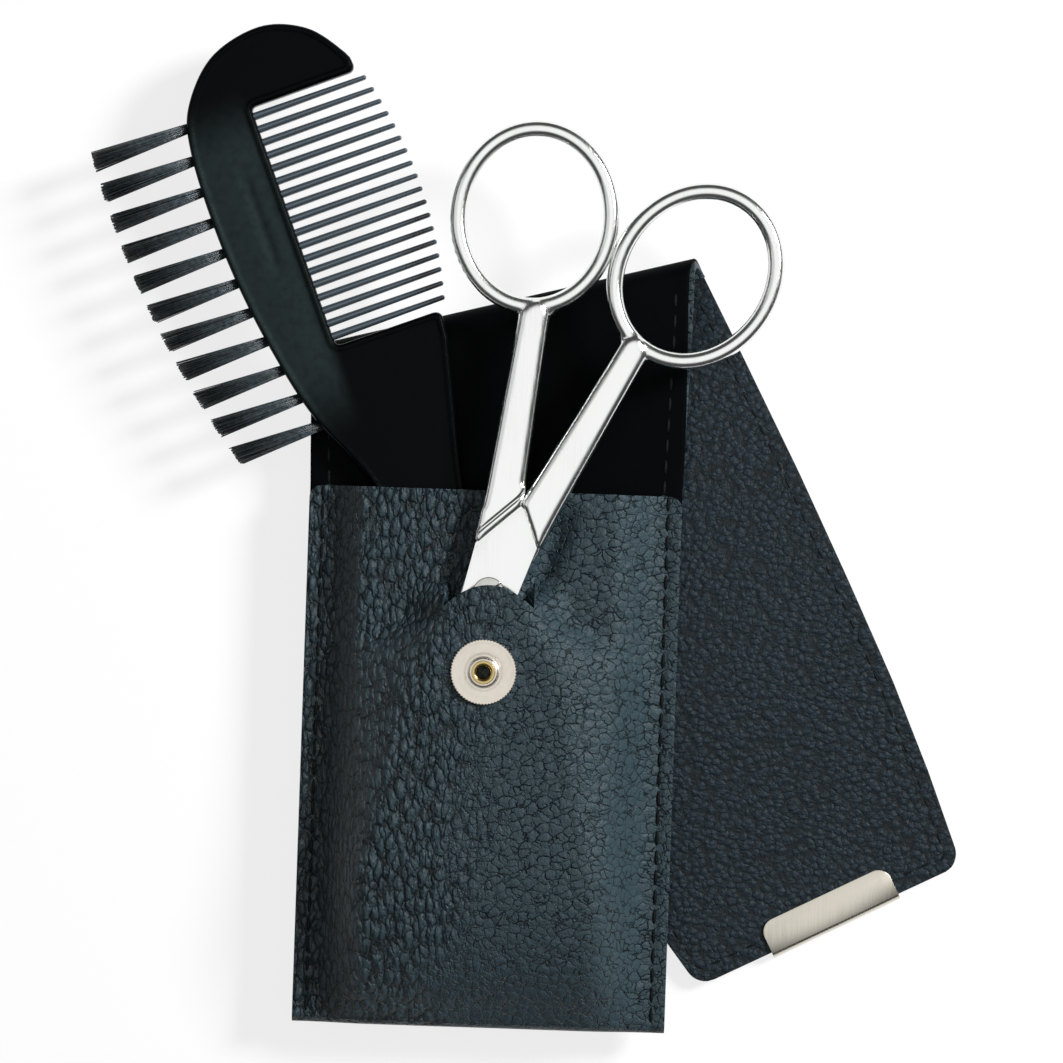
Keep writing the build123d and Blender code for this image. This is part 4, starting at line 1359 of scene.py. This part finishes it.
    def flap_points(self, u: Grid, d: Grid, base: float, gap: float = 0.05) -> Grid:
        """Points on one face of the flap.

        Args:
            u: Place across, from -1 to 1.
            d: Distance from the fold as a share of the flap's length.
            base: Height of the face by the fold, in mm.
            gap: Distance that the face keeps from the fold, in mm.

        Returns:
            The points in metres.
        """
        start = -u * self.fold_width / 2 * math.tan(SLOPE) - gap
        end = -self.flap_length + u * self.flap_end * math.sin(math.radians(self.flap_slant))
        y = start + (end - start) * d
        away = (-9, 0, 20, 45, 65, 84, 100, 115.5)
        half = np.interp(-y, away, (32.3, 32.1, 31.6, 30.7, 29.6, 28.4, 26.7, 24.45))
        radius = self.flap_corner
        near = np.clip(radius - (y - end), 0, radius)
        x = u * (half - radius + np.sqrt(np.clip(radius ** 2 - near ** 2, 0, None)))
        rise = np.where(-y < 62, 2.4 * ease((-y - 9) / 53), 2.4 - 1.9 * ease((-y - 62) / 43))
        return FLAP.at(x, y, base + rise)

    def flap_layer(self, name: str, base: float, thickness: float, gap: float) -> Piece:
        """One layer of the flap.

        Args:
            name: The layer's name.
            base: Height of its upper face by the fold, in mm.
            thickness: In mm.
            gap: Distance that it keeps from the fold, in mm.

        Returns:
            The layer.
        """
        rows, columns = 200, 110
        u = np.linspace(-1, 1, columns)[None, :]
        d = np.linspace(0, 1, rows)[:, None]
        d = np.where(d < 0.95, d, 1 - (1 - d) * (0.35 + 0.65 * (1 - d) / 0.05))
        points = self.flap_points(u, d, base, gap)[::-1].reshape(-1, 3)
        faces = grid_faces(rows, columns)
        return sheet_of_leather(name, points, faces, thickness, lambda spot: abs(past_fold(spot)) < 0.3, 0.25)

    def sew(self) -> None:
        """The seams of the pocket, the rows on the lining, and the row round the flap."""
        stitching = Stitching()
        inner = self.width / 2 - self.stitch_in
        for side, name in ((-1, "left"), (1, "right")):
            y = np.linspace(3.2, self.mouth - 1.2, 120)
            stitching.sew(f"seam_thread_{name}", CASE.at(side * inner, y, self.edge - 0.22), Body.POUCH)
            top = TANGENT_Y + side * self.fold_width / 2 * math.tan(SLOPE)
            y = np.linspace(self.mouth + 1.5, top - 4.0, 60)
            line = CASE.at(side * (self.edge_x(y) - 3.1), y, self.floor - 0.12)
            stitching.sew(f"lining_thread_{name}", line, Body.POUCH)
        d = np.concatenate((np.linspace(0.02, 0.976, 90), np.full(60, 0.978), np.linspace(0.976, 0.02, 90)))
        u = np.concatenate((np.full(90, -0.918), np.linspace(-0.9, 0.9, 60), np.full(90, 0.918)))
        ring = self.flap_points(u, d, self.lining + self.leather - 0.2)
        for part, name in ((slice(0, 107), "left"), (slice(136, 240), "right")):
            stitching.sew(f"flap_thread_{name}", ring[part], Body.FLAP)

    def build(self) -> None:
        """Makes and dresses the whole case."""
        self.front()
        panel = self.panel("back_panel_leather", self.back + self.leather, self.leather, 0.0)
        dress(panel, Body.POUCH, GRAINED, ["back_panel"])
        lining = self.panel("back_panel_lining", self.floor, self.lining, self.lining_in)
        dress(lining, Body.POUCH, LINING, ["back_lining"])
        start, end = FOLD.vector(0, 0, 2 * FOLD_OUTER), FOLD.vector(0, 0, 0)
        for name, outer, thickness, inset, finish, slot, node in (
            (
                "fold_lining_bend", FOLD_OUTER, self.lining, self.lining_in, LINING, "smooth_lining",
                "fold_lining",
            ),
            (
                "fold_leather_bend", FOLD_OUTER - self.lining, self.leather, 0.0, GRAINED, "grained_leather",
                "fold_leather",
            ),
        ):
            piece = self.fold(name, outer, thickness, inset)
            piece.data.materials.append(finish.material())
            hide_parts(node)
            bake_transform(piece)
        grain = self.flap_layer("flap_leather_sheet", self.lining + self.leather, self.leather, 0.05)
        dress(grain, Body.FLAP, FLAP_GRAIN, ["flap_leather"])
        under = self.flap_layer("flap_lining_sheet", self.lining, self.lining, 0.25)
        dress(under, Body.FLAP, LINING, ["flap_lining"])
        self.sew()
        log.info("case: front, back, fold and flap")


# Rigid pieces
@dataclass
class PressStud:
    """The stud with its milled flange, and the eyelet rolled into it.

    Attributes:
        x: Place of its axis across the case, in mm.
        y: Place of its axis from the pocket's bottom.
        base: Height of the leather that it sits on.
        flange: Radius of the flange.
        notches: Notches milled into the flange's rim.
    """

    x: float = -1.0
    y: float = 60.0
    base: float = 17.25
    flange: float = 5.5
    notches: int = 64

    def build(self) -> None:
        """Makes and dresses both turned pieces."""
        centre = (self.x, self.y, self.base)
        stud = turned_piece("stud_flange_and_post", CASE, centre, (
            (1.5, 0.0), (5.3, 0.0), (self.flange, 0.15), (self.flange, 0.34), (5.36, 0.5), (5.1, 0.55),
            (4.85, 0.47), (4.3, 0.5), (3.6, 0.52), (3.15, 0.5), (2.95, 0.42), (2.62, 0.44), (2.3, 0.62),
            (2.12, 0.9), (2.15, 1.1), (2.45, 1.32), (2.5, 1.5), (2.44, 1.72), (2.28, 1.86), (2.05, 1.9),
            (1.9, 1.86), (1.75, 1.62), (1.5, 1.5),
        ), 256, (self.notches, 0.13, 5.2))
        dress(stud, Body.POUCH, STUD_PLATE, ["snap_stud"])
        eyelet = turned_piece("stud_eyelet_rolled", CASE, centre, (
            (1.05, -1.3), (3.9, -1.3), (4.0, -1.2), (3.9, -1.0), (1.42, -1.0), (1.4, 1.45), (1.52, 1.72),
            (1.78, 1.86), (1.95, 1.98), (1.9, 2.12), (1.66, 2.19), (1.35, 2.1), (1.13, 1.85), (1.05, 1.4),
        ))
        dress(eyelet, Body.POUCH, BRASS, ["snap_eyelet"])
        log.info("press stud: flange and eyelet")


@dataclass
class FlapHardware:
    """The snap socket under the flap, and the clip on its end.

    Attributes:
        pieces: The CAD node of each piece, its name, its slot, and how far its edges are softened.
    """

    pieces: Sequence[tuple[str, str, str, float]] = (
        ("snap_socket", "socket_turned", "nickel", 0.1),
        ("snap_cap", "socket_cap", "nickel", 0.05),
        ("snap_spring", "socket_spring", "spring_steel", 0.0),
        ("edge_clip", "clip_folded", "nickel", 0.1),
    )

    def build(self) -> None:
        """Makes and dresses the flap's metal pieces."""
        for node, name, slot, soften in self.pieces:
            finish = SPRING if slot == "spring_steel" else NICKEL
            dress(from_node(node, name, soften), Body.FLAP, finish, [node])
            log.info("flap: %s", name)


@dataclass
class Scissors:
    """The two halves and their screw.

    The shanks and rings are forged in one and polished, so they run into each
    other softly. The blades and the flats at the joint are ground, with crisp edges.

    Attributes:
        voxel: Size of the mesh that joins shank and ring, in mm.
        passes: How often that mesh is smoothed.
        regrown: How far it is pushed out again, in mm.
        middle: Height of the middle of the shanks and rings, in mm.
        flare_at: Place of the swelling at a ring, out from the scissors' middle and along them.
        flare_turn: Its turn, in degrees.
        flare_size: Half the swelling, along the ring, across it and in height.
        groove_at: Distance of the groove from the flats, in mm.
        groove_depth: Its depth, in mm.
        groove_width: Its half width, in mm.
        flats_end: Line across a half where its ground flats end, as a point and a direction.
        ground: Width of the ground edge round the flats, in mm.
    """

    voxel: float = 0.2
    passes: int = 48
    regrown: float = 0.4
    middle: float = 14.0
    flare_at: tuple[float, float] = (8.75, 47.05)
    flare_turn: float = 24.3
    flare_size: tuple[float, float, float] = (3.1, 1.6, 1.0)
    groove_at: float = 1.15
    groove_depth: float = 0.3
    groove_width: float = 0.24
    flats_end: tuple[tuple[float, float], tuple[float, float]] = ((-2.4, 11.5), (0.508, 0.861))
    ground: float = 0.55

    def flare(self, mesh: bmesh.types.BMesh, side: int) -> None:
        """Adds the swelling where the shank runs out into the ring.

        Args:
            mesh: The shank and ring.
            side: -1 for the half with the left ring, 1 for the other.
        """
        out, along = self.flare_at
        turn = math.radians(SCISSORS.turn - side * self.flare_turn)
        shape = (
            Matrix.Translation(SCISSORS.vector(side * out, along, self.middle))
            @ Matrix.Rotation(turn, 4, "Z")
            @ Matrix.Diagonal((*(size * MM for size in self.flare_size), 1))
        )
        bmesh.ops.create_uvsphere(mesh, u_segments=32, v_segments=16, radius=1.0, matrix=shape)

    def groove(self, part: Piece, spot: Vector, across: Vector) -> None:
        """Presses the fine groove that runs beside the ground flats.

        Args:
            part: The shank.
            spot: A place on the line where the flats end.
            across: Direction straight across that line, towards the ring.
        """
        for vertex in part.data.vertices:
            away = ((vertex.co - spot).dot(across) / MM - self.groove_at) / self.groove_width
            if abs(away) < 3 and vertex.normal.z > 0.5:
                vertex.co.z -= self.groove_depth * MM * math.exp(-away * away)

    def half(self, node: str, name: str, side: int) -> Piece:
        """One half of the scissors.

        Args:
            node: Its CAD node.
            name: The piece's name.
            side: -1 for the half with the left ring, 1 for the other.

        Returns:
            The half.
        """
        (px, py), (dx, dy) = self.flats_end
        spot = SCISSORS.vector(-side * px, py, self.middle)
        run = SCISSORS.vector(-side * (px + dx), py + dy, self.middle) - spot
        across = Vector((run.y, -run.x, 0)).normalized()
        if across.dot(SCISSORS.vector(0, 60, self.middle) - spot) < 0:
            across.negate()

        def cut(part: Piece, upper: bool) -> None:
            """Keeps one side of the line where the flats end, and closes the cut.

            Args:
                part: A copy of the half.
                upper: Whether the ring's side is kept, and gets its swelling.
            """
            mesh = bmesh.new()
            mesh.from_mesh(part.data)
            bmesh.ops.bisect_plane(
                mesh, geom=mesh.verts[:] + mesh.edges[:] + mesh.faces[:], plane_co=spot, plane_no=across,
                clear_inner=upper, clear_outer=not upper,
            )
            bmesh.ops.holes_fill(mesh, edges=[e for e in mesh.edges if e.is_boundary])
            bmesh.ops.triangulate(mesh, faces=[f for f in mesh.faces if len(f.verts) > 4])
            if upper:
                self.flare(mesh, side)
            mesh.to_mesh(part.data)
            mesh.free()

        blade, shank = from_node(node, name), from_node(node, name)
        cut(blade, False)
        applied(blade, ("BEVEL", {
            "width": self.ground * MM, "segments": 3, "limit_method": "ANGLE",
            "angle_limit": math.radians(40),
        }))
        smooth(blade, 35)
        cut(shank, True)
        applied(
            shank, ("REMESH", {"mode": "VOXEL", "voxel_size": self.voxel * MM}),
            ("SMOOTH", {"factor": 0.5, "iterations": self.passes}),
            ("DISPLACE", {"strength": self.regrown * MM, "mid_level": 0.0}),
        )
        smooth(shank, 180)
        if side < 0:
            self.groove(shank, spot, across)
        edit(blade, lambda mesh: mesh.from_mesh(shank.data))
        bpy.data.objects.remove(shank)
        return blade

    def build(self) -> None:
        """Makes and dresses the scissors."""
        for node, name, body, side in (
            ("scissors_upper_half", "half_with_left_ring", Body.UPPER_HALF, -1),
            ("scissors_lower_half", "half_with_right_ring", Body.LOWER_HALF, 1),
        ):
            dress(self.half(node, name, side), body, STEEL, [node])
            log.info("scissors: %s", name)
        screw = from_node("pivot_screw", "screw_slotted", 0.1)
        dress(screw, Body.LOWER_HALF, SCREW_STEEL, ["pivot_screw"])


@dataclass
class CombBrush:
    """The moulded comb with its teeth, and the bristle tufts in its back.

    Attributes:
        low: Underside of the comb, over the table, in mm.
        thick: Its thickness.
        window: Upper and lower end of the window that holds the teeth.
        teeth: Number of comb teeth.
        pitch: Distance from tooth to tooth.
        reach: Length of the middle teeth.
        widths: Width of a tooth at its root and at its tip.
        flattening: Height of a tooth over its width.
        shorter: How much shorter a tooth is, for the square of its distance from the row's middle.
        row_middle: Place of the row's middle along the comb.
        brush_edge: The edge that holds the tufts: its x at the bow's middle, its bow, and that middle.
        brush_line: The same for the line on which the tufts end.
        tufts: Number of tufts.
        tuft_first: Place of the first tuft along the comb.
        tuft_pitch: Distance from tuft to tuft.
        sunk: Depth of a tuft in its hole.
        plug: Radius of a tuft in its hole.
        strands: Number of strands in a tuft.
        strand: Radius of a strand; a real one is finer, and this is as coarse as it needs to show.
    """

    low: float = 6.9
    thick: float = 3.4
    window: tuple[float, float] = (39.85, -2.5)
    teeth: int = 18
    pitch: float = 2.3
    reach: float = 23.0
    widths: tuple[float, float] = (1.36, 0.86)
    flattening: float = 1.75
    shorter: float = 0.00675
    row_middle: float = 18.8
    brush_edge: tuple[float, float, float] = (-12.6, 0.0038, 24.0)
    brush_line: tuple[float, float, float] = (-28.35, 0.0033, 29.0)
    tufts: int = 11
    tuft_first: float = 40.2
    tuft_pitch: float = 5.43
    sunk: float = 2.2
    plug: float = 0.7
    strands: int = 120
    strand: float = 0.085

    @property
    def middle(self) -> float:
        """Height of the comb's middle."""
        return self.low + self.thick / 2

    def back(self, y: Grid | float) -> Grid:
        """The brush edge's x at y."""
        edge, bow, middle = self.brush_edge
        return edge + bow * (y - middle) ** 2

    def outline(self) -> Grid:
        """The frame's outline, clockwise from the handle's lower left.

        Returns:
            The outline's points, in mm.
        """
        top, base = self.window
        edge = [(self.back(y), y) for y in (-12, 0, 12, 24, 36)]
        rising = smooth_line((
            (-1.0, -66.0 + 6.3), (-1.0, -50), (-1.0, -40), (-2.1, -26.2), *edge, (-9.9, 43.4), (-3.4, 50.1),
            (5.8, 52.2), (13.3, 49.3), (17.9, 43.4), (18.6, 40.9),
        ), 0.8)[:-1]
        beak = rounded_corner((18.6, 41.2), (18.35, top), (12, top), 1.1)
        crook = rounded_corner((6, top), (0, top), (0, 30), 1.0)
        foot = rounded_corner((0, 6), (0, base), (6, base), 1.2)
        shoulder = rounded_corner((14, base), (18.6, base - 0.2), (18.2, -8), 1.6)
        falling = smooth_line(((18.2, -7.2), (16.4, -14.3), (12.4, -31.0), (11.6, -40.0), (11.6, -59.7)), 0.8)
        angle = np.linspace(0, math.pi, 30)[1:-1]
        end = np.stack((5.3 + 6.3 * np.cos(angle), -59.7 - 6.3 * np.sin(angle)), axis=1)
        return np.vstack((rising, beak, crook, foot, shoulder, falling, end))

    def relief(self, x: Grid, y: Grid, depth: Grid) -> Grid:
        """Half thickness inside the edge: a bead, a valley and a crowned field.

        Args:
            x: Across, in mm.
            y: Along, in mm.
            depth: Distance from the outline, in mm.

        Returns:
            The half thickness in mm.
        """
        crowned = 1.38 + 0.3 * (1 - np.exp(-(depth - 1.3) / 3.2))
        bead = 1.7 - 0.32 * ease((depth - 0.75) / 0.65)
        hollow = 0.34 * np.exp(-(((x + 4.9) / 0.9) ** 2)) * ease((y - 10) / 5) * ease((32 - y) / 5)
        return np.where(depth < 1.4, bead, crowned) - hollow

    def frame(self) -> Piece:
        """The spine, crown, shoulder and handle."""
        rim = ((0.0, 0.75), (0.05, 1.05), (0.18, 1.36), (0.38, 1.58), (0.62, 1.69))
        return moulded_plate("comb_body", COMB, self.outline(), self.middle, rim, self.relief, 0.42)

    @property
    def tooth_sizes(self) -> Sizes:
        """Inputs of the teeth's tree.

        Returns:
            Each input's value.
        """
        first = self.row_middle - (self.teeth - 1) / 2 * self.pitch
        root, tip = self.widths
        return {
            "Count": self.teeth, "Pitch": self.pitch * MM, "Reach": self.reach * MM,
            "Curve": self.shorter * self.pitch ** 2 / self.reach, "Root width": root * MM,
            "Tip width": tip * MM, "Flattening": self.flattening,
            "Place": COMB.vector(-0.9, first, self.middle), "Turn": math.radians(COMB.turn),
        }

    def tuft_sizes(self, number: int) -> Sizes:
        """Inputs of the tree for one tuft.

        Args:
            number: Which tuft, from 0 at the crown.

        Returns:
            Each input's value.
        """
        y = self.tuft_first - number * self.tuft_pitch
        end, bow, middle = self.brush_line
        hole = self.back(y) + self.sunk
        return {
            "Strands": self.strands, "Seed": 10 * number + 7, "Plug radius": self.plug * MM, "Spread": 1.4,
            "Length": (hole - end - bow * (y - middle) ** 2) * MM, "Cut slope": -2 * bow * (y - middle),
            "Strand radius": self.strand * MM, "Place": COMB.vector(hole, y, self.middle),
            "Turn": math.radians(COMB.turn),
        }

    def tooth_tree(self) -> Tree:
        """The tree that sets the teeth along the spine, shorter towards its ends.

        Returns:
            The tree.
        """
        tree, given = geometry_tree("comb_teeth", self.tooth_sizes)
        root, tip = (
            put(tree, "ShaderNodeMath", {0: given[width], 1: 0.5}, operation="MULTIPLY")
            for width in ("Root width", "Tip width")
        )
        bar = put(tree, "GeometryNodeMeshCone", {
            "Vertices": 14, "Side Segments": 6, "Radius Top": tip, "Radius Bottom": root,
            "Depth": given["Reach"],
        }, fill_type="NONE")
        ball = put(tree, "GeometryNodeMeshUVSphere", {"Segments": 14, "Rings": 8, "Radius": tip})
        up = put(tree, "ShaderNodeCombineXYZ", {2: given["Reach"]})
        end = put(tree, "GeometryNodeTransform", {"Geometry": ball, "Translation": up})
        whole = put(tree, "GeometryNodeJoinGeometry", {0: [bar, end]})
        laid = put(tree, "GeometryNodeTransform", {"Geometry": whole, "Rotation": (0, math.pi / 2, 0)})
        thick = put(tree, "ShaderNodeCombineXYZ", {0: 1.0, 1: 1.0, 2: given["Flattening"]})
        tooth = put(tree, "GeometryNodeTransform", {"Geometry": laid, "Scale": thick})
        step = put(tree, "ShaderNodeCombineXYZ", {1: given["Pitch"]})
        row = put(tree, "GeometryNodeMeshLine", {"Count": given["Count"], "Offset": step})
        found = {
            "number": put(tree, "GeometryNodeInputIndex"), "count": given["Count"], "curve": given["Curve"],
        }
        for name, how, a, b in (
            ("last", "SUBTRACT", "count", 1.0), ("middle", "MULTIPLY", "last", 0.5),
            ("off", "SUBTRACT", "number", "middle"), ("far", "MULTIPLY", "off", "off"),
            ("less", "MULTIPLY", "far", "curve"), ("long", "SUBTRACT", 1.0, "less"),
        ):
            ends = {0: found.get(a, a), 1: found.get(b, b)}
            found[name] = put(tree, "ShaderNodeMath", ends, operation=how)
        scale = put(tree, "ShaderNodeCombineXYZ", {0: found["long"], 1: 1.0, 2: 1.0})
        placed = put(tree, "GeometryNodeInstanceOnPoints", {"Points": row, "Instance": tooth, "Scale": scale})
        close_tree(tree, placed, TOOTH_PLASTIC_PAINTED_SHEEN, given)
        return tree

    def tuft_tree(self) -> Tree:
        """The tree that draws one tuft: strands that fan out from a round plug.

        Returns:
            The tree.
        """
        tree, given = geometry_tree("bristle_tuft", self.tuft_sizes(0))
        spots = put(tree, "GeometryNodePoints", {"Count": given["Strands"]})
        found = {
            "plug": given["Plug radius"], "spread": given["Spread"], "length": given["Length"],
            "slope": given["Cut slope"],
        }
        for name, low, high, shift in (
            ("share", 0.0, 1.0, 1), ("round", 0.0, 2 * math.pi, 2), ("splay", 0.75, 1.1, 3),
            ("stray", -0.12 * MM, 0.12 * MM, 5), ("uneven", -0.5 * MM, 0.1 * MM, 4),
        ):
            seed = put(tree, "ShaderNodeMath", {0: given["Seed"], 1: float(shift)}, operation="ADD")
            drawn = put(tree, "FunctionNodeRandomValue", {2: low, 3: high, "Seed": seed}, data_type="FLOAT")
            found[name] = drawn.outputs[1]
        for name, how, a, b in (
            ("root", "POWER", "share", 0.5), ("out", "MULTIPLY", "root", "plug"),
            ("cosine", "COSINE", "round", 0.0), ("y", "MULTIPLY", "out", "cosine"),
            ("sine", "SINE", "round", 0.0), ("z", "MULTIPLY", "out", "sine"),
            ("fan", "MULTIPLY", "spread", "splay"), ("lift", "MULTIPLY", "fan", 0.9),
            ("rise", "MULTIPLY", "z", "lift"), ("aside", "MULTIPLY", "y", "fan"),
            ("side", "ADD", "aside", "stray"), ("width", "ADD", "y", "side"),
            ("cut", "MULTIPLY", "width", "slope"), ("even", "ADD", "length", "cut"),
            ("long", "ADD", "even", "uneven"), ("away", "MULTIPLY", "long", -1.0),
        ):
            found[name] = put(tree, "ShaderNodeMath", {0: found[a], 1: found.get(b, b)}, operation=how)
        foot = put(tree, "ShaderNodeCombineXYZ", {1: found["y"], 2: found["z"]})
        lean = put(tree, "ShaderNodeCombineXYZ", {0: found["away"], 1: found["side"], 2: found["rise"]})
        moved = put(tree, "GeometryNodeSetPosition", {"Geometry": spots, "Position": foot})
        turn = put(tree, "FunctionNodeAlignRotationToVector", {"Vector": lean}, axis="Z")
        rod = put(tree, "GeometryNodeMeshCylinder", {
            "Vertices": 5, "Side Segments": 1, "Radius": given["Strand radius"], "Depth": 1.0,
        })
        base = put(tree, "GeometryNodeTransform", {"Geometry": rod, "Translation": (0, 0, 0.5)})
        size = put(tree, "ShaderNodeCombineXYZ", {0: 1.0, 1: 1.0, 2: found["long"]})
        placed = put(tree, "GeometryNodeInstanceOnPoints", {
            "Points": moved, "Instance": base, "Rotation": turn, "Scale": size,
        })
        close_tree(tree, placed, BRISTLE, given)
        return tree

    def build(self) -> None:
        """Makes and dresses the comb."""
        dress(self.frame(), Body.COMB, PLASTIC, ["comb_frame"])
        teeth = grown("comb_teeth", [(0, 0, 0)], False, self.tooth_tree(), self.tooth_sizes)
        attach(teeth, Body.COMB.value)
        dress(from_node("tuft_staples", "tuft_anchors", 0.03), Body.COMB, BRASS, ["tuft_staples"])
        tree = self.tuft_tree()
        for number in range(self.tufts):
            tuft = f"tuft_{number + 1:02d}"
            piece = grown(tuft, [(0, 0, 0)], False, tree, self.tuft_sizes(number))
            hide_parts(f"bristle_{tuft}")
            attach(piece, Body.COMB.value)
        log.info("comb: body, teeth, tufts and anchors")


# Stage
@dataclass
class Studio:
    """Floor, lamps and camera.

    Attributes:
        camera_height: Height of the camera over the table, in mm.
        focus_z: Height at which that width holds, in mm.
        roll: Turn of the camera about its view, in degrees.
        sensor: Width of the camera's sensor, in mm.
        aim: Place that it looks down on.
        ceiling: Upward share of a direction where the bright ceiling starts and is full.
        walls: Brightness beside the ceiling.
        dimmed: Share of the world's light that matt surfaces get.
        shine: Share of the floor's white that isn't shaded.
    """

    camera_height: float = 700.0
    frame_width: float = 177.17
    focus_z: float = 12.0
    roll: float = 1.96
    sensor: float = 36.0
    aim: Place = Place(CASE.x + 6.15, CASE.y + 83.51)
    ceiling: tuple[float, float] = (0.72, 0.97)
    walls: float = 0.06
    dimmed: float = 0.4
    shine: float = 0.8

    def floor(self) -> None:
        reach = 1500.0
        x, y = (reach * np.array(signs) for signs in ((-1, 1, 1, -1), (-1, -1, 1, 1)))
        piece = new_mesh("floor", Place(0, 0).at(x, y, 0), [(0, 1, 2, 3)])
        made = bpy.data.materials.new("paper_matt_white")
        made.use_nodes = True
        tree = made.node_tree
        tree.nodes.clear()
        paper = put(tree, "ShaderNodeBsdfDiffuse", {"Color": linear("#f4f4f4")})
        glow = put(tree, "ShaderNodeEmission", {"Color": (1, 1, 1, 1), "Strength": 1.0})
        path = put(tree, "ShaderNodeLightPath")
        seen = path.outputs["Is Camera Ray"]
        for ray in ("Is Glossy Ray", "Is Transmission Ray"):
            seen = put(tree, "ShaderNodeMath", {0: seen, 1: path.outputs[ray]}, operation="MAXIMUM")
        share = put(tree, "ShaderNodeMath", {0: seen, 1: self.shine}, operation="MULTIPLY")
        mixed = put(tree, "ShaderNodeMixShader", {0: share, 1: paper, 2: glow})
        put(tree, "ShaderNodeOutputMaterial", {"Surface": mixed})
        piece.data.materials.append(made)

    def lamp(
        self, name: str, spot: tuple[float, float, float], size: float, power: float, mirrored: bool,
        lights: bool,
    ) -> None:
        """Args:
            name: The lamp's name.
            spot: Its place, in metres.
            size: Its side, in metres.
            power: In watts.
            mirrored: Whether glossy surfaces show it.
            lights: Whether it lights matt surfaces.
        """
        light = bpy.data.lights.new(name, "AREA")
        light.size, light.energy = size, power
        holder = bpy.data.objects.new(name, light)
        holder.location = spot
        holder.rotation_euler = (-Vector(spot)).to_track_quat("-Z", "Y").to_euler()
        holder.visible_glossy, holder.visible_diffuse = mirrored, lights
        bpy.context.scene.collection.objects.link(holder)

    def world(self) -> None:
        """A dim studio with a broad bright ceiling, white where the camera sees it."""
        world = bpy.data.worlds.new("studio")
        bpy.context.scene.world = world
        world.use_nodes = True
        tree = world.node_tree
        tree.nodes.clear()
        way = put(tree, "ShaderNodeSeparateXYZ", {0: put(tree, "ShaderNodeTexCoord").outputs["Generated"]})
        low, high = self.ceiling
        ceiling = put(
            tree, "ShaderNodeMapRange",
            {"Value": way.outputs[2], "From Min": low, "From Max": high, "To Min": self.walls},
            interpolation_type="SMOOTHSTEP",
        )
        path = put(tree, "ShaderNodeLightPath")
        seen = put(
            tree, "ShaderNodeMath", {0: ceiling, 1: path.outputs["Is Camera Ray"]}, operation="MAXIMUM"
        )
        dull = put(tree, "ShaderNodeMapRange", {
            "Value": path.outputs["Is Diffuse Ray"], "To Min": 1.0, "To Max": self.dimmed,
        })
        strength = put(tree, "ShaderNodeMath", {0: seen, 1: dull}, operation="MULTIPLY")
        glow = put(tree, "ShaderNodeBackground", {"Color": (1, 1, 1, 1), "Strength": strength})
        put(tree, "ShaderNodeOutputWorld", {"Surface": glow})

    def camera(self) -> None:
        lens = bpy.data.cameras.new("camera")
        lens.sensor_width = self.sensor
        lens.lens = self.sensor * (self.camera_height - self.focus_z) / self.frame_width
        holder = bpy.data.objects.new("camera", lens)
        holder.location = self.aim.vector(0, 0, self.camera_height)
        holder.rotation_euler = (0, 0, math.radians(self.roll))
        bpy.context.scene.collection.objects.link(holder)
        bpy.context.scene.camera = holder

    def build(self) -> None:
        """Sets up the whole stage."""
        self.floor()
        self.lamp("lamp_key", (0.8, 0.42, 0.58), 0.25, 22.0, False, True)
        self.lamp("lamp_glint", (0.7, 0.37, 0.68), 0.3, 6.0, True, False)
        self.lamp("lamp_fill", (-0.7, 0.15, 0.6), 0.5, 0.5, True, True)
        self.world()
        self.camera()
        bpy.context.scene.view_settings.view_transform = "Standard"
        log.info("studio: floor, lamps and camera")


def write_size() -> None:
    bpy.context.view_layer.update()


def main() -> None:
    logging.basicConfig(level=logging.INFO, format="%(name)s: %(message)s")
    for assembly in (LeatherCase(), PressStud(), FlapHardware(), Scissors(), CombBrush(), Studio()):
        assembly.build()
    write_size()


if __name__ == "__main__":
    main()
